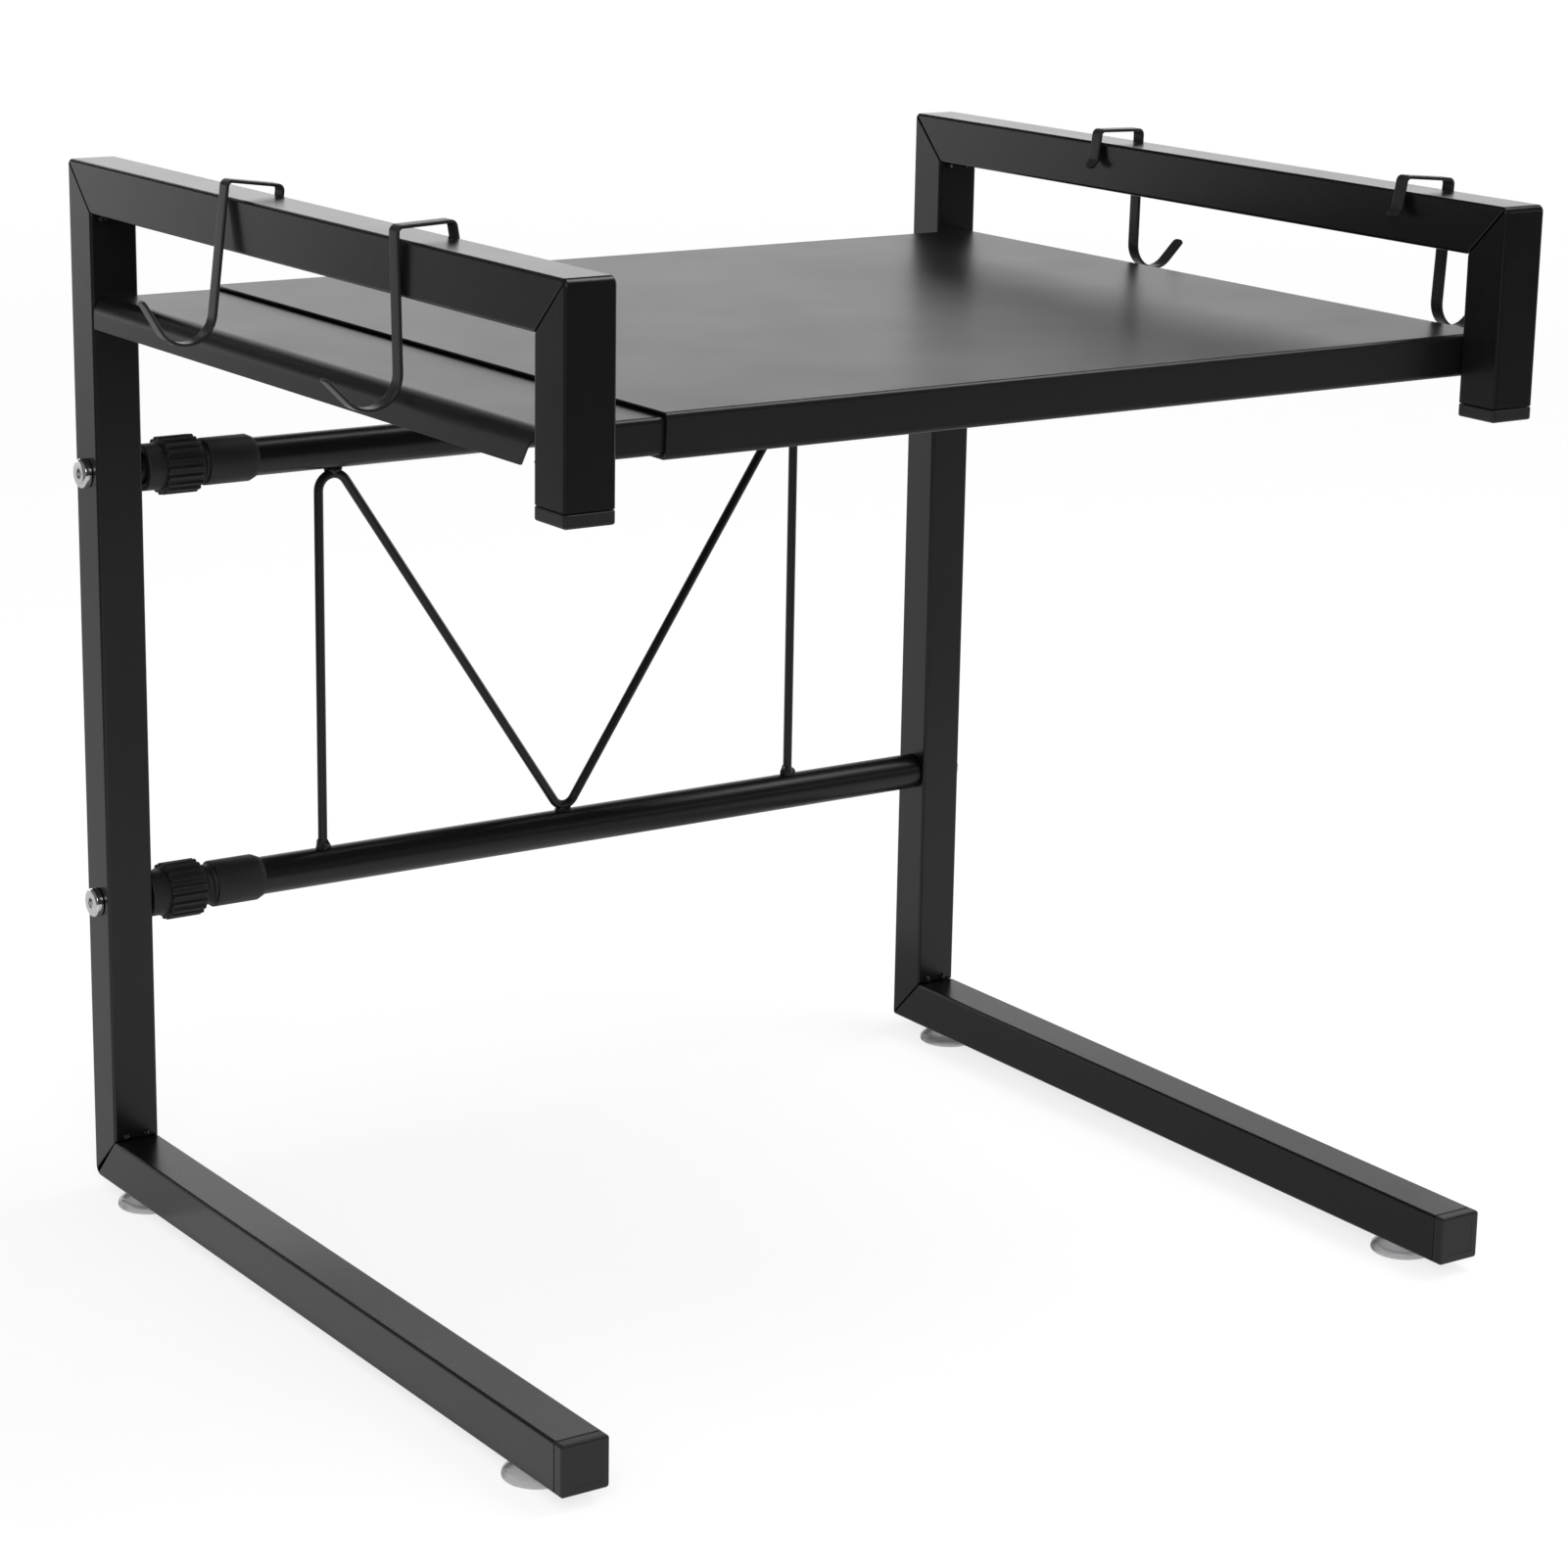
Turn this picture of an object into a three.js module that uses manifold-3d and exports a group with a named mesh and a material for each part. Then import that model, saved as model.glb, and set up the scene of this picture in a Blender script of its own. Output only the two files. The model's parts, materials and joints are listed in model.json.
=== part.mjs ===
// Extendable rack that stands over a microwave oven.
// Two folded square-tube side frames carry a two-part sheet-metal shelf that telescopes sideways.
// Two round rails behind, each with a twist lock, telescope with the shelf, and a bent wire stiffens them.
// Millimetres. +X to the right, -Y to the open front, +Z up. The origin is on the floor under the middle.

import * as THREE from 'three';
import { mergeVertices } from 'three/addons/utils/BufferGeometryUtils.js';
import Module from 'manifold-3d';

const wasm = await Module();
wasm.setup();

// Overall sizes
const WIDTH = 435; // outside of both side frames, rack pushed together
const DEPTH = 380; // back of the rear posts to the front of the drop posts
const FRAME_HEIGHT = 427.5; // side frame without its feet

// Clearances
const SEAT = 0.3; // between pieces that are fixed to each other
const GLIDE = 0.5; // between pieces that slide or turn on each other

// Square tube of the side frames
const TUBE = 20;
const TUBE_WALL = 1.2;
const TUBE_CORNER = 1.3; // outside corner of the section
const FOLD_RADIUS = 2.5; // outside of a folded corner
const SEAM = 0.3; // slit left where a corner is folded
const FOOT_RAIL_LENGTH = 380; // with its end cap
const DROP_POST_LENGTH = 82.5; // with its end cap

// End caps of the square tube
const CAP_FLANGE = 5;
const CAP_EDGE = 1; // rounding of the visible end
const CAP_PLUG = 12; // length inside the tube
const CAP_PLUG_WALL = 1.6;

// Suction feet
const FOOT_HEIGHT = 5.5; // floor to the underside of the foot rail
const FOOT_RADIUS = 13;
const FOOT_RIM = 2; // flat ring that meets the floor
const FOOT_EDGE = 1; // thickness at the rim
const FOOT_DOME = 3.6; // rise of the cup above its rim
const FOOT_HOLLOW = 2.4; // height of the hollow underneath
const FOOT_NECK = 6; // radius of the shoulder under the rail
const FOOT_STEM = 3.2; // radius of the stem through the rail
const FOOT_HEAD = 5; // radius of the head inside the rail
const FOOT_HEAD_HEIGHT = 3;
const FRONT_FOOT_SETBACK = 33; // foot centre behind the front end of the foot rail
const REAR_FOOT_SETBACK = 31; // foot centre in front of the back of the rear post

// Shelf sheets
const SHEET = 1;
const SHELF_DROP = 51; // top of the frame down to the top of the right sheet
const SHELF_FLANGE = 16.5; // front and rear flange of the right sheet
const SHELF_LIP = 10; // inward lip under each flange
const SHEET_BEND = 1; // inside radius of the front and rear bends
const END_BEND = 6; // inside radius of the bend at the outer ends
const END_FLANGE_CUT = 8; // how far the lower front corner of an end flange is cut back
const SEAM_SETBACK = 52.5; // from the outside of the left frame to the free edge of the right sheet
const SHEET_GAP = 0.6; // between the two sheets where one lies on the other
const SHELF_OVERLAP = 120; // of the two sheets when pulled right out

// Round rails
const RAIL_TUBE = 16; // outer tube, outside diameter
const RAIL_WALL = 1;
const RAIL_PLAY = 0.65; // inner tube to the bore of the outer one
const LOWER_RAIL_HEIGHT = 122.5; // underside of the foot rails up to the lower rail's axis
const UPPER_RAIL_DROP = 125; // top of the frame down to the upper rail's axis
const RAIL_OVERLAP = 110; // of the two tubes when pulled right out
const BUSH_LENGTH = 10; // guide bush at the hidden end of an inner tube
const BUSH_PLUG = 10;
const BUSH_CLEARANCE = 23.6; // guide bush to the right insert, rack pushed together
const INSERT_LENGTH = 18; // threaded insert in a tube end

// Rail screws
const SCREW = 6; // thread diameter
const SCREW_HEAD = 12; // head diameter
const SCREW_HEAD_HEIGHT = 3.2;
const SCREW_EDGE = 2; // straight side of the head below its rounding
const SCREW_FLAT = 4.8; // radius of the flat around the socket
const SOCKET = 4; // hexagon across flats
const SOCKET_DEPTH = 2;
const SCREW_GRIP = 12; // thread inside the insert

// Twist locks
const SLEEVE_WALL = 1.5; // of the sleeve around the outer tube
const SLEEVE_LENGTH = 24;
const SLEEVE_STOP = 3; // end wall that the outer tube butts against
const SPIGOT_WALL = 1.75; // of the threaded spigot
const NUT_WALL = 2.1; // outside the thread, between the ribs
const NUT_RIB = 1; // height of a rib
const NUT_RIBS = 20;
const RIB_FOOT_SHARE = 0.68; // of the rib pitch
const RIB_TOP_SHARE = 0.52;
const NUT_LENGTH = 17; // wide stretch of the nut
const NUT_EDGE = 1.4; // plain band at each end of the ribs
const NOSE_WALL = 2.75; // of the plain end of the nut
const NOSE_LENGTH = 8;
const NOSE_GAP = 1; // unscrewed nut to the left post
const CLAMP_LENGTH = 6; // split clamp ring inside the nut
const CLAMP_TAPER = 1; // how much smaller in radius the ring is at its spigot end
const CLAMP_SLIT = 2;
const TIGHT_GAP = 1; // tight nut to its sleeve
const THREAD_PITCH = 2.5;
const LOCK_TURNS = 1; // from tight to unscrewed
const UPPER_NUT_TURNS_OUT = 0; // how far each nut stands unscrewed
const LOWER_NUT_TURNS_OUT = 1;

// Wire truss
const WIRE = 4; // diameter
const TRUSS_CENTRE = 7; // middle of the wire from the middle of the rack
const TRUSS_SPAN = 240; // between the two upright ends
const TRUSS_PEAK_BEND = 7; // centreline radius at the two peaks
const TRUSS_FOOT_BEND = 6; // centreline radius at the valley

// Strip hooks
const STRIP_WIDTH = 6;
const STRIP = 1.3; // thickness
const HOOK_GRIP = 0.35; // strip to the sides of the top rail
const HOOK_RISE = 5.5; // top of the bridge above the rail
const HOOK_CORNER = 2; // centreline radius of the bridge corners
const HOOK_INNER_LEG = 10;
const HOOK_FLARE = 35; // degrees that the inner lip turns away from the rail
const HOOK_FLARE_BEND = 2;
const HOOK_FLARE_LENGTH = 3.5;
const HOOK_OUTER_LEG = 49.5;
const HOOK_CURL = 10; // centreline radius of the hook
const HOOK_CURL_TURN = 135; // degrees
const HOOK_TIP = 11;
const HOOKS = {
  left_rear_hook: { side: -1, y: 50, lean: 7 },
  left_front_hook: { side: -1, y: -80, lean: 0 },
  right_rear_hook: { side: 1, y: 57, lean: 0 },
  right_front_hook: { side: 1, y: -133, lean: 0 },
};

// Steps in a quarter turn, around the turned pieces and around the wire
const ARC_STEPS = 4;
const CURVE_SEGMENTS = ARC_STEPS / 2; // a shape's arc is drawn in twice as many steps
const TURNED_STEPS = 20;
const WIRE_SIDES = 10;

// Places worked out from the sizes above
const FRAME_BOTTOM = FOOT_HEIGHT;
const FRAME_TOP = FRAME_BOTTOM + FRAME_HEIGHT;
const BACK = DEPTH / 2;
const FRONT = -DEPTH / 2;
const POST_Y = BACK - TUBE / 2;
const FRAME_X = (WIDTH - TUBE) / 2;
const TUBE_INSIDE_CORNER = Math.max(TUBE_CORNER - TUBE_WALL, SEAT);
const POST_INSIDE = WIDTH / 2 - TUBE;
const FOOT_RAIL_FRONT = BACK - FOOT_RAIL_LENGTH;
const SHELF_HALF_DEPTH = DEPTH / 2 - TUBE - SEAT;
const SHELF_TOP = FRAME_TOP - SHELF_DROP;
const SHELF_SEAM_X = -WIDTH / 2 + SEAM_SETBACK;
const RAIL_BORE = RAIL_TUBE - 2 * RAIL_WALL;
const INNER_TUBE = RAIL_BORE - 2 * RAIL_PLAY;
const INNER_BORE = INNER_TUBE - 2 * RAIL_WALL;
const TUBE_PASSAGE = INNER_TUBE / 2 + GLIDE; // radius of the way through the lock
const SLEEVE_BORE = RAIL_TUBE / 2 + SEAT;
const SLEEVE_RADIUS = SLEEVE_BORE + SLEEVE_WALL;
const SPIGOT_RADIUS = TUBE_PASSAGE + SPIGOT_WALL;
const NUT_BORE = SPIGOT_RADIUS + SEAT;
const NUT_ROOT = NUT_BORE + NUT_WALL; // radius between the ribs
const NOSE_RADIUS = TUBE_PASSAGE + NOSE_WALL;
const NUT_LEFT = -POST_INSIDE + NOSE_GAP + LOCK_TURNS * THREAD_PITCH; // of a tight nut
const CLAMP_LEFT = NUT_LEFT + NOSE_LENGTH + SEAT;
const CLAMP_RIGHT = CLAMP_LEFT + CLAMP_LENGTH;
const SPIGOT_LEFT = CLAMP_RIGHT + SEAT;
const SLEEVE_LEFT = NUT_LEFT + NOSE_LENGTH + NUT_LENGTH + TIGHT_GAP;
const RAIL_LEFT = SLEEVE_LEFT + SLEEVE_STOP + SEAT;
const RIGHT_INSERT_LEFT = POST_INSIDE - SEAT - INSERT_LENGTH;
const BUSH_LEFT = RIGHT_INSERT_LEFT - BUSH_CLEARANCE - BUSH_LENGTH;
const INNER_TUBE_RIGHT = BUSH_LEFT - SEAT;
const TRAVEL = INNER_TUBE_RIGHT - RAIL_LEFT - RAIL_OVERLAP; // how far the left half pulls out
const RAILS = {
  lower: { z: FRAME_BOTTOM + LOWER_RAIL_HEIGHT, turnsOut: LOWER_NUT_TURNS_OUT },
  upper: { z: FRAME_TOP - UPPER_RAIL_DROP, turnsOut: UPPER_NUT_TURNS_OUT },
};

const AXIS_X = new THREE.Vector3(1, 0, 0);
const AXIS_Y = new THREE.Vector3(0, 1, 0);
const AXIS_Z = new THREE.Vector3(0, 0, 1);

// Finishes
const FINISHES = {
  powderCoat: { color: 0x1d1d1e, roughness: 0.55, metalness: 0.1 },
  blackPlastic: { color: 0x141415, roughness: 0.5, metalness: 0 },
  blackStrip: { color: 0x202021, roughness: 0.45, metalness: 0.2 },
  chrome: { color: 0xd4d5d7, roughness: 0.15, metalness: 1 },
  zinc: { color: 0x9fa2a5, roughness: 0.4, metalness: 1 },
  whitePlastic: { color: 0xd9d9d6, roughness: 0.6, metalness: 0 },
  clearPlastic: { color: 0xe9eeee, roughness: 0.15, metalness: 0 },
};

const rack = new THREE.Group();

function addPiece(name, finish, geometry) {
  const material = new THREE.MeshStandardMaterial({ ...FINISHES[finish], flatShading: true });
  const mesh = new THREE.Mesh(geometry, material);
  mesh.name = name;
  rack.add(mesh);
  return mesh;
}

// Joining and cutting

function solid(geometry) {
  const bare = geometry.clone();
  bare.deleteAttribute('normal');
  bare.deleteAttribute('uv');
  const merged = mergeVertices(bare, 1e-4);
  const triVerts = Uint32Array.from(merged.index.array);
  const vertProperties = Float32Array.from(merged.attributes.position.array);
  return new wasm.Manifold(new wasm.Mesh({ numProp: 3, vertProperties, triVerts }));
}

function geometryOf(body) {
  const mesh = body.getMesh();
  const geometry = new THREE.BufferGeometry();
  geometry.setAttribute('position', new THREE.BufferAttribute(Float32Array.from(mesh.vertProperties), 3));
  geometry.setIndex(new THREE.BufferAttribute(Uint32Array.from(mesh.triVerts), 1));
  geometry.computeVertexNormals();
  return geometry;
}

function join(...geometries) {
  return geometryOf(geometries.map(solid).reduce((whole, part) => whole.add(part)));
}

function cut(geometry, ...tools) {
  return geometryOf(tools.map(solid).reduce((whole, tool) => whole.subtract(tool), solid(geometry)));
}

// Basic forms

// A shape drawn on the plane of two axes through a point and thickened evenly to both sides.
function slab(shape, thickness, origin, u, v) {
  const options = { depth: thickness, bevelEnabled: false, curveSegments: CURVE_SEGMENTS };
  const geometry = new THREE.ExtrudeGeometry(shape, options);
  const normal = new THREE.Vector3().crossVectors(u, v);
  geometry.translate(0, 0, -thickness / 2);
  return geometry.applyMatrix4(new THREE.Matrix4().makeBasis(u, v, normal).setPosition(origin));
}

function polygon(points) {
  return new THREE.Shape(points.map(([x, y]) => new THREE.Vector2(x, y)));
}

function roundedSquare(size, radius) {
  const half = size / 2;
  const flat = half - radius;
  const shape = new THREE.Shape();
  shape.absarc(flat, flat, radius, 0, Math.PI / 2, false);
  shape.absarc(-flat, flat, radius, Math.PI / 2, Math.PI, false);
  shape.absarc(-flat, -flat, radius, Math.PI, 1.5 * Math.PI, false);
  shape.absarc(flat, -flat, radius, 1.5 * Math.PI, 2 * Math.PI, false);
  return shape;
}

// A piece turned about an axis along X: pairs of [place along the axis, radius], outer side running right.
function turned(profile) {
  const points = [...profile, profile[0]].map(([along, radius]) => new THREE.Vector2(radius, along));
  return new THREE.LatheGeometry(points, TURNED_STEPS).rotateZ(-Math.PI / 2);
}

// The points of a quarter ellipse on a turned profile, leaving its start along the axis.
function roundOver([fromAlong, fromRadius], [toAlong, toRadius]) {
  const points = [];
  for (let step = 0; step <= ARC_STEPS; step += 1) {
    const angle = (step / ARC_STEPS) * (Math.PI / 2);
    const along = fromAlong + (toAlong - fromAlong) * Math.sin(angle);
    const radius = toRadius + (fromRadius - toRadius) * Math.cos(angle);
    points.push([along, step === ARC_STEPS ? toRadius : radius]);
  }
  return points;
}

// A plain ring or rod along X.
function rod(left, right, radius, bore = 0) {
  return turned([[left, bore], [left, radius], [right, radius], [right, bore]]);
}

// The middle line of a bent strip, sheet or wire: a start, a heading and a list of moves.
// A move is { go } for a straight length, or { turn, radius } for a bend, left turns positive, in degrees.
function bentLine(start, heading, moves) {
  let [x, y] = start;
  let angle = THREE.MathUtils.degToRad(heading);
  const line = [{ x, y, angle }];
  for (const { go = 0, turn = 0, radius = 0 } of moves) {
    x += go * Math.cos(angle);
    y += go * Math.sin(angle);
    if (go > 0) {
      line.push({ x, y, angle });
    }
    const sweep = THREE.MathUtils.degToRad(turn);
    const side = Math.sign(turn);
    const steps = Math.ceil(Math.abs(turn) / (90 / ARC_STEPS));
    const centreX = x - side * radius * Math.sin(angle);
    const centreY = y + side * radius * Math.cos(angle);
    for (let step = 1; step <= steps; step += 1) {
      const turnedTo = angle + (sweep * step) / steps;
      const pointX = centreX + side * radius * Math.sin(turnedTo);
      const pointY = centreY - side * radius * Math.cos(turnedTo);
      line.push({ x: pointX, y: pointY, angle: turnedTo });
    }
    x = line.at(-1).x;
    y = line.at(-1).y;
    angle += sweep;
  }
  return line;
}

function reversed(line) {
  return line.map(({ x, y, angle }) => ({ x, y, angle: angle + Math.PI })).reverse();
}

// The outline of a strip or sheet of even thickness about its middle line.
function stripShape(line, thickness) {
  const beside = (amount) => line.map(({ x, y, angle }) => {
    return [x - amount * Math.sin(angle), y + amount * Math.cos(angle)];
  });
  return polygon([...beside(-thickness / 2), ...beside(thickness / 2).reverse()]);
}

// A path through exactly the points of a bent line, standing upright at a given depth.
class BentPath extends THREE.Curve {
  constructor(line, y) {
    super();
    this.line = line;
    this.y = y;
  }

  getPointAt(share) {
    const point = this.line[Math.round(share * (this.line.length - 1))];
    return new THREE.Vector3(point.x, this.y, point.y);
  }

  getTangentAt(share) {
    const { angle } = this.line[Math.round(share * (this.line.length - 1))];
    return new THREE.Vector3(Math.cos(angle), 0, Math.sin(angle));
  }
}

// Side frames

// The sliver outside the rounding of a folded corner, measured inwards from both outer faces.
function foldSliver() {
  const sliver = new THREE.Shape();
  sliver.moveTo(-FOLD_RADIUS, -FOLD_RADIUS);
  sliver.lineTo(FOLD_RADIUS, -FOLD_RADIUS);
  sliver.absarc(FOLD_RADIUS, FOLD_RADIUS, FOLD_RADIUS, 1.5 * Math.PI, Math.PI, true);
  sliver.lineTo(-FOLD_RADIUS, FOLD_RADIUS);
  return sliver;
}

// A tube along +Z whose outer side faces +Y, with a fold at either end.
function foldedTube(length, { startFold = false, endFold = false }) {
  const section = roundedSquare(TUBE, TUBE_CORNER);
  section.holes.push(roundedSquare(TUBE - 2 * TUBE_WALL, TUBE_INSIDE_CORNER));
  const options = { depth: length, bevelEnabled: false, curveSegments: CURVE_SEGMENTS };
  let tube = new THREE.ExtrudeGeometry(section, options);
  const points = tube.attributes.position;
  for (let i = 0; i < points.count; i += 1) {
    const setback = TUBE / 2 - points.getY(i) + SEAM / Math.SQRT2;
    const atStart = points.getZ(i) < length / 2;
    if (atStart && startFold) {
      points.setZ(i, setback);
    }
    if (!atStart && endFold) {
      points.setZ(i, length - setback);
    }
  }
  const corner = (z, inwards) => {
    const origin = new THREE.Vector3(0, TUBE / 2, z);
    return slab(foldSliver(), 2 * TUBE, origin, AXIS_Y.clone().negate(), new THREE.Vector3(0, 0, inwards));
  };
  if (startFold) {
    tube = cut(tube, corner(0, 1));
  }
  if (endFold) {
    tube = cut(tube, corner(length, -1));
  }
  return tube;
}

// Holes for the rail screws, through both walls of a rear post that starts at the bottom of the frame.
function screwHoles() {
  const hole = rod(-TUBE, TUBE, SCREW / 2 + SEAT);
  return Object.values(RAILS).map(({ z }) => hole.clone().translate(0, 0, z - FRAME_BOTTOM));
}

function footPlaces() {
  return { front: FOOT_RAIL_FRONT + FRONT_FOOT_SETBACK, rear: BACK - REAR_FOOT_SETBACK };
}

// Holes for the foot stems through the outer wall of a foot rail that starts at its front end.
function stemHoles(railStart) {
  return Object.values(footPlaces()).map((y) => {
    const hole = rod(-TUBE_WALL, 2 * TUBE_WALL, FOOT_STEM + SEAT).rotateZ(Math.PI / 2);
    return hole.translate(0, TUBE / 2 - TUBE_WALL, y - railStart);
  });
}

function addSideFrame(name, x) {
  const railStart = FOOT_RAIL_FRONT + CAP_FLANGE + SEAT;
  const footTube = foldedTube(BACK - railStart, { endFold: true });
  const footRail = addPiece(`${name}_foot_rail`, 'powderCoat', cut(footTube, ...stemHoles(railStart)));
  footRail.rotation.x = -Math.PI / 2;
  footRail.position.set(x, railStart, FRAME_BOTTOM + TUBE / 2);

  const postTube = foldedTube(FRAME_HEIGHT, { startFold: true, endFold: true });
  const rearPost = addPiece(`${name}_rear_post`, 'powderCoat', cut(postTube, ...screwHoles()));
  rearPost.position.set(x, POST_Y, FRAME_BOTTOM);

  const topTube = foldedTube(DEPTH, { startFold: true, endFold: true });
  const topRail = addPiece(`${name}_top_rail`, 'powderCoat', topTube);
  topRail.rotation.x = Math.PI / 2;
  topRail.position.set(x, BACK, FRAME_TOP - TUBE / 2);

  const dropTube = foldedTube(DROP_POST_LENGTH - CAP_FLANGE - SEAT, { startFold: true });
  const dropPost = addPiece(`${name}_drop_post`, 'powderCoat', dropTube);
  dropPost.rotation.x = Math.PI;
  dropPost.position.set(x, FRONT + TUBE / 2, FRAME_TOP);
}

// An end cap whose visible end faces +Z and whose plug points down.
function endCap() {
  const flange = new THREE.ExtrudeGeometry(roundedSquare(TUBE - 2 * CAP_EDGE, TUBE_CORNER), {
    depth: CAP_FLANGE - CAP_EDGE,
    bevelThickness: CAP_EDGE,
    bevelSize: CAP_EDGE,
    bevelSegments: 2,
    curveSegments: CURVE_SEGMENTS,
  });
  const belowFlange = polygon([[-TUBE, -TUBE], [TUBE, -TUBE], [TUBE, 0], [-TUBE, 0]]);
  const squareBack = slab(belowFlange, 2 * TUBE, new THREE.Vector3(), AXIS_X, AXIS_Z);
  const plugSize = TUBE - 2 * TUBE_WALL - 2 * SEAT;
  const plugSection = roundedSquare(plugSize, TUBE_INSIDE_CORNER);
  plugSection.holes.push(roundedSquare(plugSize - 2 * CAP_PLUG_WALL, CAP_PLUG_WALL / 2));
  const plugOptions = { depth: CAP_PLUG + CAP_EDGE, bevelEnabled: false, curveSegments: CURVE_SEGMENTS };
  const plug = new THREE.ExtrudeGeometry(plugSection, plugOptions).translate(0, 0, -CAP_PLUG);
  return join(cut(flange, squareBack), plug);
}

function addEndCaps(name, x) {
  const footCap = addPiece(`${name}_foot_cap`, 'blackPlastic', endCap());
  footCap.rotation.x = Math.PI / 2;
  footCap.position.set(x, FOOT_RAIL_FRONT + CAP_FLANGE, FRAME_BOTTOM + TUBE / 2);

  const dropCap = addPiece(`${name}_drop_cap`, 'blackPlastic', endCap());
  dropCap.rotation.x = Math.PI;
  dropCap.position.set(x, FRONT + TUBE / 2, FRAME_TOP - DROP_POST_LENGTH + CAP_FLANGE);
}

// A suction foot: pairs of [height, radius], with its stem through the rail's underside and a head inside.
function suctionFoot() {
  const shoulder = FOOT_HEIGHT - SEAT;
  const headBottom = FOOT_HEIGHT + TUBE_WALL + SEAT;
  const profile = [
    ...roundOver([0, FOOT_RADIUS - FOOT_RIM], [FOOT_HOLLOW, 0]).reverse(),
    [0, FOOT_RADIUS],
    ...roundOver([FOOT_EDGE, FOOT_RADIUS], [FOOT_EDGE + FOOT_DOME, FOOT_NECK]),
    [shoulder, FOOT_NECK],
    [shoulder, FOOT_STEM],
    [headBottom, FOOT_STEM],
    [headBottom, FOOT_HEAD],
    [headBottom + FOOT_HEAD_HEIGHT, FOOT_STEM],
    [headBottom + FOOT_HEAD_HEIGHT, 0],
  ];
  const points = profile.map(([height, radius]) => new THREE.Vector2(radius, height));
  return new THREE.LatheGeometry(points, TURNED_STEPS).rotateX(Math.PI / 2);
}

function addFeet(name, x) {
  for (const [end, y] of Object.entries(footPlaces())) {
    const foot = addPiece(`${name}_${end}_foot`, 'clearPlastic', suctionFoot());
    foot.position.set(x, y, 0);
  }
}

// Shelf sheets

// A sheet with front and rear flanges from free edge to outer end, where it bends down between the posts.
// side is the side of the rack that its outer end is on.
function shelfSheet({ side, top, halfDepth, bottom, lip, freeEdge }) {
  const middle = SHEET / 2;
  const bend = SHEET_BEND + middle;
  const flange = top - bottom - 2 * (SHEET + SHEET_BEND);
  const lipLength = lip - SHEET - SHEET_BEND;
  const panDepth = 2 * (halfDepth - SHEET - SHEET_BEND);
  const turnIn = { turn: 90, radius: bend };
  const pan = bentLine([halfDepth - lip, bottom + middle], 0, [
    { go: lipLength, ...turnIn },
    { go: flange, ...turnIn },
    { go: panDepth, ...turnIn },
    { go: flange, ...turnIn },
    { go: lipLength },
  ]);
  const outerEnd = (side * WIDTH) / 2;
  const endBend = END_BEND + middle;
  const bendStart = outerEnd - side * (END_BEND + SHEET);
  const panLength = Math.abs(bendStart - freeEdge);
  const panMiddle = new THREE.Vector3((bendStart + freeEdge) / 2, 0, 0);
  const panSheet = slab(stripShape(pan, SHEET), panLength, panMiddle, AXIS_Y, AXIS_Z);

  const lap = END_BEND;
  const endLine = bentLine([-lap, top - middle], 0, [
    { go: lap, turn: -90, radius: endBend },
    { go: top - bottom - END_BEND - SHEET },
  ]);
  const outwards = new THREE.Vector3(side, 0, 0);
  const endOrigin = new THREE.Vector3(bendStart, 0, 0);
  const endSheet = slab(stripShape(endLine, SHEET), 2 * SHELF_HALF_DEPTH, endOrigin, outwards, AXIS_Z);
  const frontCut = polygon([
    [-SHELF_HALF_DEPTH - SHEET, bottom - SHEET],
    [-SHELF_HALF_DEPTH + END_FLANGE_CUT, bottom - SHEET],
    [-SHELF_HALF_DEPTH - SHEET, top - SHEET - END_BEND / 2],
  ]);
  const cutOrigin = new THREE.Vector3(outerEnd, 0, 0);
  const slantedEnd = cut(endSheet, slab(frontCut, 2 * END_BEND, cutOrigin, AXIS_Y, AXIS_Z));
  return join(panSheet, slantedEnd);
}

function addShelf() {
  const right = {
    side: 1,
    top: SHELF_TOP,
    halfDepth: SHELF_HALF_DEPTH,
    bottom: SHELF_TOP - SHELF_FLANGE,
    lip: SHELF_LIP,
    freeEdge: SHELF_SEAM_X,
  };
  const left = {
    side: -1,
    top: right.top - SHEET - SHEET_GAP,
    halfDepth: right.halfDepth - SHEET - GLIDE,
    bottom: right.bottom + SHEET + SHEET_GAP,
    lip: right.lip - SHEET,
    freeEdge: SHELF_SEAM_X + TRAVEL + SHELF_OVERLAP,
  };
  addPiece('right_shelf_tray', 'powderCoat', shelfSheet(right));
  addPiece('left_shelf_tray', 'powderCoat', shelfSheet(left));
}

// Round rails and their twist locks, drawn along X about their own axis

function outerTube() {
  return rod(RAIL_LEFT, POST_INSIDE - SEAT, RAIL_TUBE / 2, RAIL_BORE / 2);
}

function innerTube() {
  return rod(-POST_INSIDE + SEAT, INNER_TUBE_RIGHT, INNER_TUBE / 2, INNER_BORE / 2);
}

// A guide bush with a plug in the inner tube's end and a collar that runs in the outer tube.
function guideBush() {
  const plugRadius = INNER_BORE / 2 - SEAT;
  const collarRadius = RAIL_BORE / 2 - SEAT;
  return turned([
    [BUSH_LEFT - BUSH_PLUG, 0],
    [BUSH_LEFT - BUSH_PLUG, plugRadius],
    [BUSH_LEFT, plugRadius],
    [BUSH_LEFT, collarRadius],
    [BUSH_LEFT + BUSH_LENGTH, collarRadius],
    [BUSH_LEFT + BUSH_LENGTH, 0],
  ]);
}

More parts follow.
